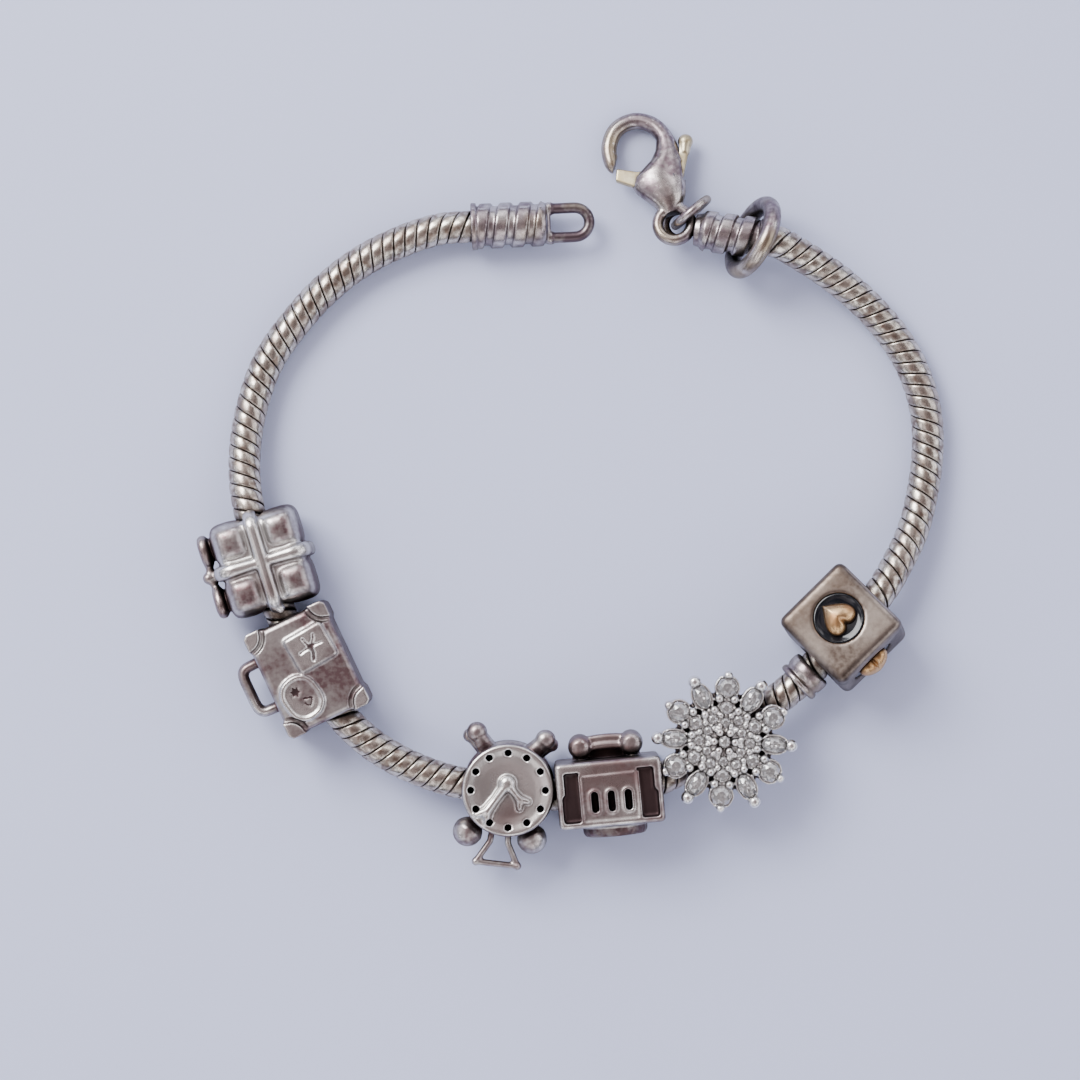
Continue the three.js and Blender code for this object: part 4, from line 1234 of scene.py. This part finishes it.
class BRACELET_OT_snowflake(bpy.types.Operator):
    """Makes the snowflake charm: its silver and its stones"""

    bl_idname = "bracelet.snowflake"
    bl_label = "Snowflake charm"

    def execute(self, context):
        settings = context.scene.bracelet_charms
        matrix = charm_matrix("snowflake")
        star = snowflake_silver_mesh(settings)
        add_piece("snowflake_star", star, matrix, setting_silver(), "cast_silver", "snowflake_charm")
        stones = gathered("stones", [moved(cut_stone(w, longer), m) for m, w, longer in stone_places()])
        add_piece(
            "snowflake_stones", stones, matrix, cubic_zirconia(), "crystal", "snowflake_centre_stone",
            smooth=False,
        )
        return {"FINISHED"}


# ---- the thread station and the cube ----
HEART = {"size": 3.3, "height": 1.05, "recess": 2.4, "depth": 0.55}


def thread_station_mesh():
    """A short collar round the chain: a raised lip, a groove and a rounded band."""
    length, width, _ = CHARMS["thread"]["size"]
    half, inner = width / 2 + 0.05, 1.68
    profile = [
        (inner, -0.5), (half - 0.12, -0.5), (half + 0.02, -0.44), (half + 0.04, -0.34),
        (half - 0.04, -0.24), (half - 0.2, -0.19), (half - 0.2, -0.14), (half - 0.08, -0.06),
        (half - 0.02, 0.1), (half - 0.02, 0.3), (half - 0.1, 0.44), (half - 0.25, 0.5), (inner, 0.5),
    ]
    rings = [
        [Vector((share * length, radius * cos(a), radius * sin(a))) for a in turns(56)]
        for radius, share in profile
    ]
    return gathered("thread", [rings_joined(rings, closed=True)])


class BRACELET_OT_thread_station(bpy.types.Operator):
    """Makes the collar on the chain beside the cube"""

    bl_idname = "bracelet.thread_station"
    bl_label = "Thread station"

    def execute(self, context):
        matrix = CHAIN.frame(CHAIN.nearest(CHARMS["thread"]["at"]))
        made = polished_silver(context.scene.bracelet_caps)
        add_piece("thread_collar", thread_station_mesh(), matrix, made, "chain_silver", "thread_station")
        return {"FINISHED"}


def heart_faces():
    """The frame of each heart on the cube: +Z out of the face, standing on it."""
    _, width, height = CHARMS["cube"]["size"]
    return {
        "top": placed((0.15, 0.4, height / 2), 0, 0, 189),
        "side": placed((-0.3, -width / 2, 0), 90, 0, 0),
    }


def cube_mesh(settings):
    cuts = [chain_bore(settings, "cube")]
    for face in heart_faces().values():
        cuts.append(moved(rod((0, 0, -HEART["depth"]), (0, 0, 1), HEART["recess"], sides=64), face))
    return cast("cube", [bevelled_box(CHARMS["cube"]["size"], 0.75, segments=8)], cuts, grain=0.15, soften=2)


def enamel_mesh():
    """A pool of enamel that creeps up the wall of its recess."""
    edge, floor = HEART["recess"] - 0.03, -HEART["depth"] + 0.02
    top = [(edge, -0.14), (edge - 0.2, -0.26), (edge - 0.7, -0.32), (0, -0.34)]
    profile = [(0, floor), (edge, floor), *top]
    return gathered("enamel", [lathe(profile, 64)])


def heart_outline(steps=18):
    """The heart's edge from its point up the right lobe to the notch, and back down the left one."""
    k = HEART["size"] / 2
    spans = [
        [(0, -k), (k * 0.5, -k * 0.55), (k, -k * 0.1), (k, k * 0.35)],
        [(k, k * 0.35), (k, k * 0.95), (k * 0.3, k * 1.1), (0, k * 0.7)],
    ]
    right = []
    for a, b, c, d in spans:
        for step in range(steps):
            t = step / steps
            weights = ((1 - t) ** 3, 3 * t * (1 - t) ** 2, 3 * t * t * (1 - t), t ** 3)
            right.append(tuple(sum(w * p[i] for w, p in zip(weights, (a, b, c, d))) for i in (0, 1)))
    left = [(-x, y) for x, y in reversed(right[1:])]
    return [*right, (0, k * 0.7), *left]


def heart_mesh():
    """A puffed heart: its outline drawn in and raised, with a short crease down from the notch."""
    outline = heart_outline()
    middle = Vector((0, HEART["size"] * 0.04))
    rings = [[Vector((x, y, height)) for x, y in outline] for height in (-0.3, -0.1)]
    layers = 16
    for layer in range(1, layers + 1):
        lean = pi / 2 * layer / layers
        share = max(cos(lean), 0.01)
        ring = []
        for edge in outline:
            x, y = Vector(edge).lerp(middle, 1 - share)
            crease = 0.3 * exp(-(x / 0.2) ** 2) * min(max(y - 0.25, 0.0), 0.8)
            ring.append(Vector((x, y, -0.1 + HEART["height"] * sin(lean) - crease)))
        rings.append(ring)
    return gathered("heart", [moved(rings_joined(rings), Matrix.Translation((0, -0.25, 0.05)))])


class CubeSettings(bpy.types.PropertyGroup):
    colour: colour_setting("Gold", "Colour of the hearts", "#DDB582")


class BRACELET_OT_cube(bpy.types.Operator):
    """Makes the cube charm with its enamel grounds and gold hearts"""

    bl_idname = "bracelet.cube"
    bl_label = "Cube charm"

    def execute(self, context):
        cube, matrix = cube_mesh(context.scene.bracelet_charms), charm_matrix("cube")
        add_piece("cube_bead", cube, matrix, satin_cube_silver(), "cast_silver", "cube_charm")
        enamel, gold = black_enamel(), yellow_gold(context.scene.bracelet_cube)
        for side, face in heart_faces().items():
            place, ground, heart = matrix @ face, "enamel_ground_" + side, "puffed_heart_" + side
            add_piece(ground, enamel_mesh(), place, enamel, "black_enamel", "enamel_" + side)
            add_piece(heart, heart_mesh(), place, gold, "gold", "gold_heart_" + side)
        return {"FINISHED"}


# ---- the stage ----
CAMERA_HEIGHT = 325  # millimetres above the table
VIEW_CENTRE = (-2.976, -4.859)
VIEW_WIDTH = 104.76  # millimetres of the table that the camera takes in


def add_key_lamp(power):
    """A large soft lamp high on the left, behind the bracelet."""
    data = bpy.data.lights.new("key_lamp", "AREA")
    data.size, data.energy = 0.3, power
    lamp = new_object("key_lamp", data)
    lamp.location = (-0.3, 0.3, 0.42)
    lamp.rotation_euler = lamp.location.to_track_quat("Z", "Y").to_euler()


def add_camera(scene):
    data = bpy.data.cameras.new("overhead_camera")
    data.lens = data.sensor_width * CAMERA_HEIGHT / VIEW_WIDTH
    data.clip_start, data.clip_end = 0.01, 10
    camera = new_object("overhead_camera", data)
    camera.location = Vector((*VIEW_CENTRE, CAMERA_HEIGHT)) * MM
    scene.camera = camera


def room_light(strength):
    """A plain room: a warm grey ceiling that the flat tops mirror, and paler, uneven walls."""
    world = bpy.data.worlds.new("studio_room")
    world.use_nodes = True
    add = partial(node, world.node_tree)
    way = add("TexCoord").outputs["Generated"]
    height = add("SeparateXYZ", {0: way}).outputs["Z"]
    ramp = add("ValToRGB", {0: height})
    stops = [(0.0, "#6E707A"), (0.15, "#9092A0"), (0.42, "#F4F5FF"), (0.74, "#F8F4F8"), (0.93, "#827678")]
    bands = ramp.color_ramp.elements
    while len(bands) < len(stops):
        bands.new(1.0)
    for band, (place, colour) in zip(bands, stops):
        band.position = place
        band.color = rgba(colour)
    walls = add("TexNoise", {"Vector": way, "Scale": 4.0, "Detail": 1.0})
    patches = {"From Min": 0.44, "From Max": 0.56, "To Min": 0.25, "To Max": 1.85}
    windows = add("MapRange", {0: walls, **patches})
    shine = add("Math", {0: windows, 1: strength}, operation="MULTIPLY")
    feed(world.node_tree.nodes["Background"], {"Color": ramp, "Strength": shine})
    bpy.context.scene.world = world


def table_top(colour):
    """Matt white laminate, printed plain: it gives soft shadows and no mirror of the silver."""
    material, shader, add = new_material("matt_laminate")
    tint = clouded(add, 60, 2.0, (colour, tuple(channel * 0.93 for channel in colour)))
    feed(shader, {"Base Color": tint, "Roughness": 0.55, "Specular IOR Level": 0.25})
    return material


class BRACELET_OT_stage(bpy.types.Operator):
    """Makes the table top, the lamps, the room and the overhead camera"""

    bl_idname = "bracelet.stage"
    bl_label = "Stage"

    def execute(self, context):
        settings = context.scene.bracelet_stage
        half = 1.5
        corners = [(-half, -half, 0), (half, -half, 0), (half, half, 0), (-half, half, 0)]
        mesh = new_mesh("table_top", corners, [(0, 1, 2, 3)])
        mesh.materials.append(table_top(tuple(settings.floor)))
        floor = new_object("table_top", mesh)
        add_camera(context.scene)
        room_light(settings.sky)
        add_key_lamp(settings.key_power)
        return {"FINISHED"}


class BRACELET_PT_panel(bpy.types.Panel):
    bl_idname = "BRACELET_PT_panel"
    bl_label = "Charm bracelet"
    bl_space_type = "VIEW_3D"
    bl_region_type = "UI"
    bl_category = "Bracelet"

    def draw(self, context):
        for operator in OPERATORS:
            self.layout.operator(operator.bl_idname)
        for name in SETTINGS:
            settings = getattr(context.scene, name)
            column = self.layout.column()
            for key in settings.__annotations__:
                column.prop(settings, key)


OPERATORS = (
    BRACELET_OT_chain, BRACELET_OT_end_caps, BRACELET_OT_rings, BRACELET_OT_clasp,
    BRACELET_OT_cast_charms, BRACELET_OT_snowflake, BRACELET_OT_thread_station, BRACELET_OT_cube,
    BRACELET_OT_stage,
)
SETTINGS = {
    "bracelet_chain": ChainSettings, "bracelet_caps": CapSettings, "bracelet_clasp": ClaspSettings,
    "bracelet_charms": CharmSettings, "bracelet_cube": CubeSettings, "bracelet_stage": StageSettings,
}


def register():
    for name, group in SETTINGS.items():
        bpy.utils.register_class(group)
        setattr(bpy.types.Scene, name, PointerProperty(type=group))
    for operator in OPERATORS:
        bpy.utils.register_class(operator)
    bpy.utils.register_class(BRACELET_PT_panel)


def unregister():
    bpy.utils.unregister_class(BRACELET_PT_panel)
    for operator in reversed(OPERATORS):
        bpy.utils.unregister_class(operator)
    for name, group in SETTINGS.items():
        delattr(bpy.types.Scene, name)
        bpy.utils.unregister_class(group)


def main():
    register()
    for operator in OPERATORS:
        group, action = operator.bl_idname.split(".")
        getattr(getattr(bpy.ops, group), action)()


if __name__ == "__main__":
    main()
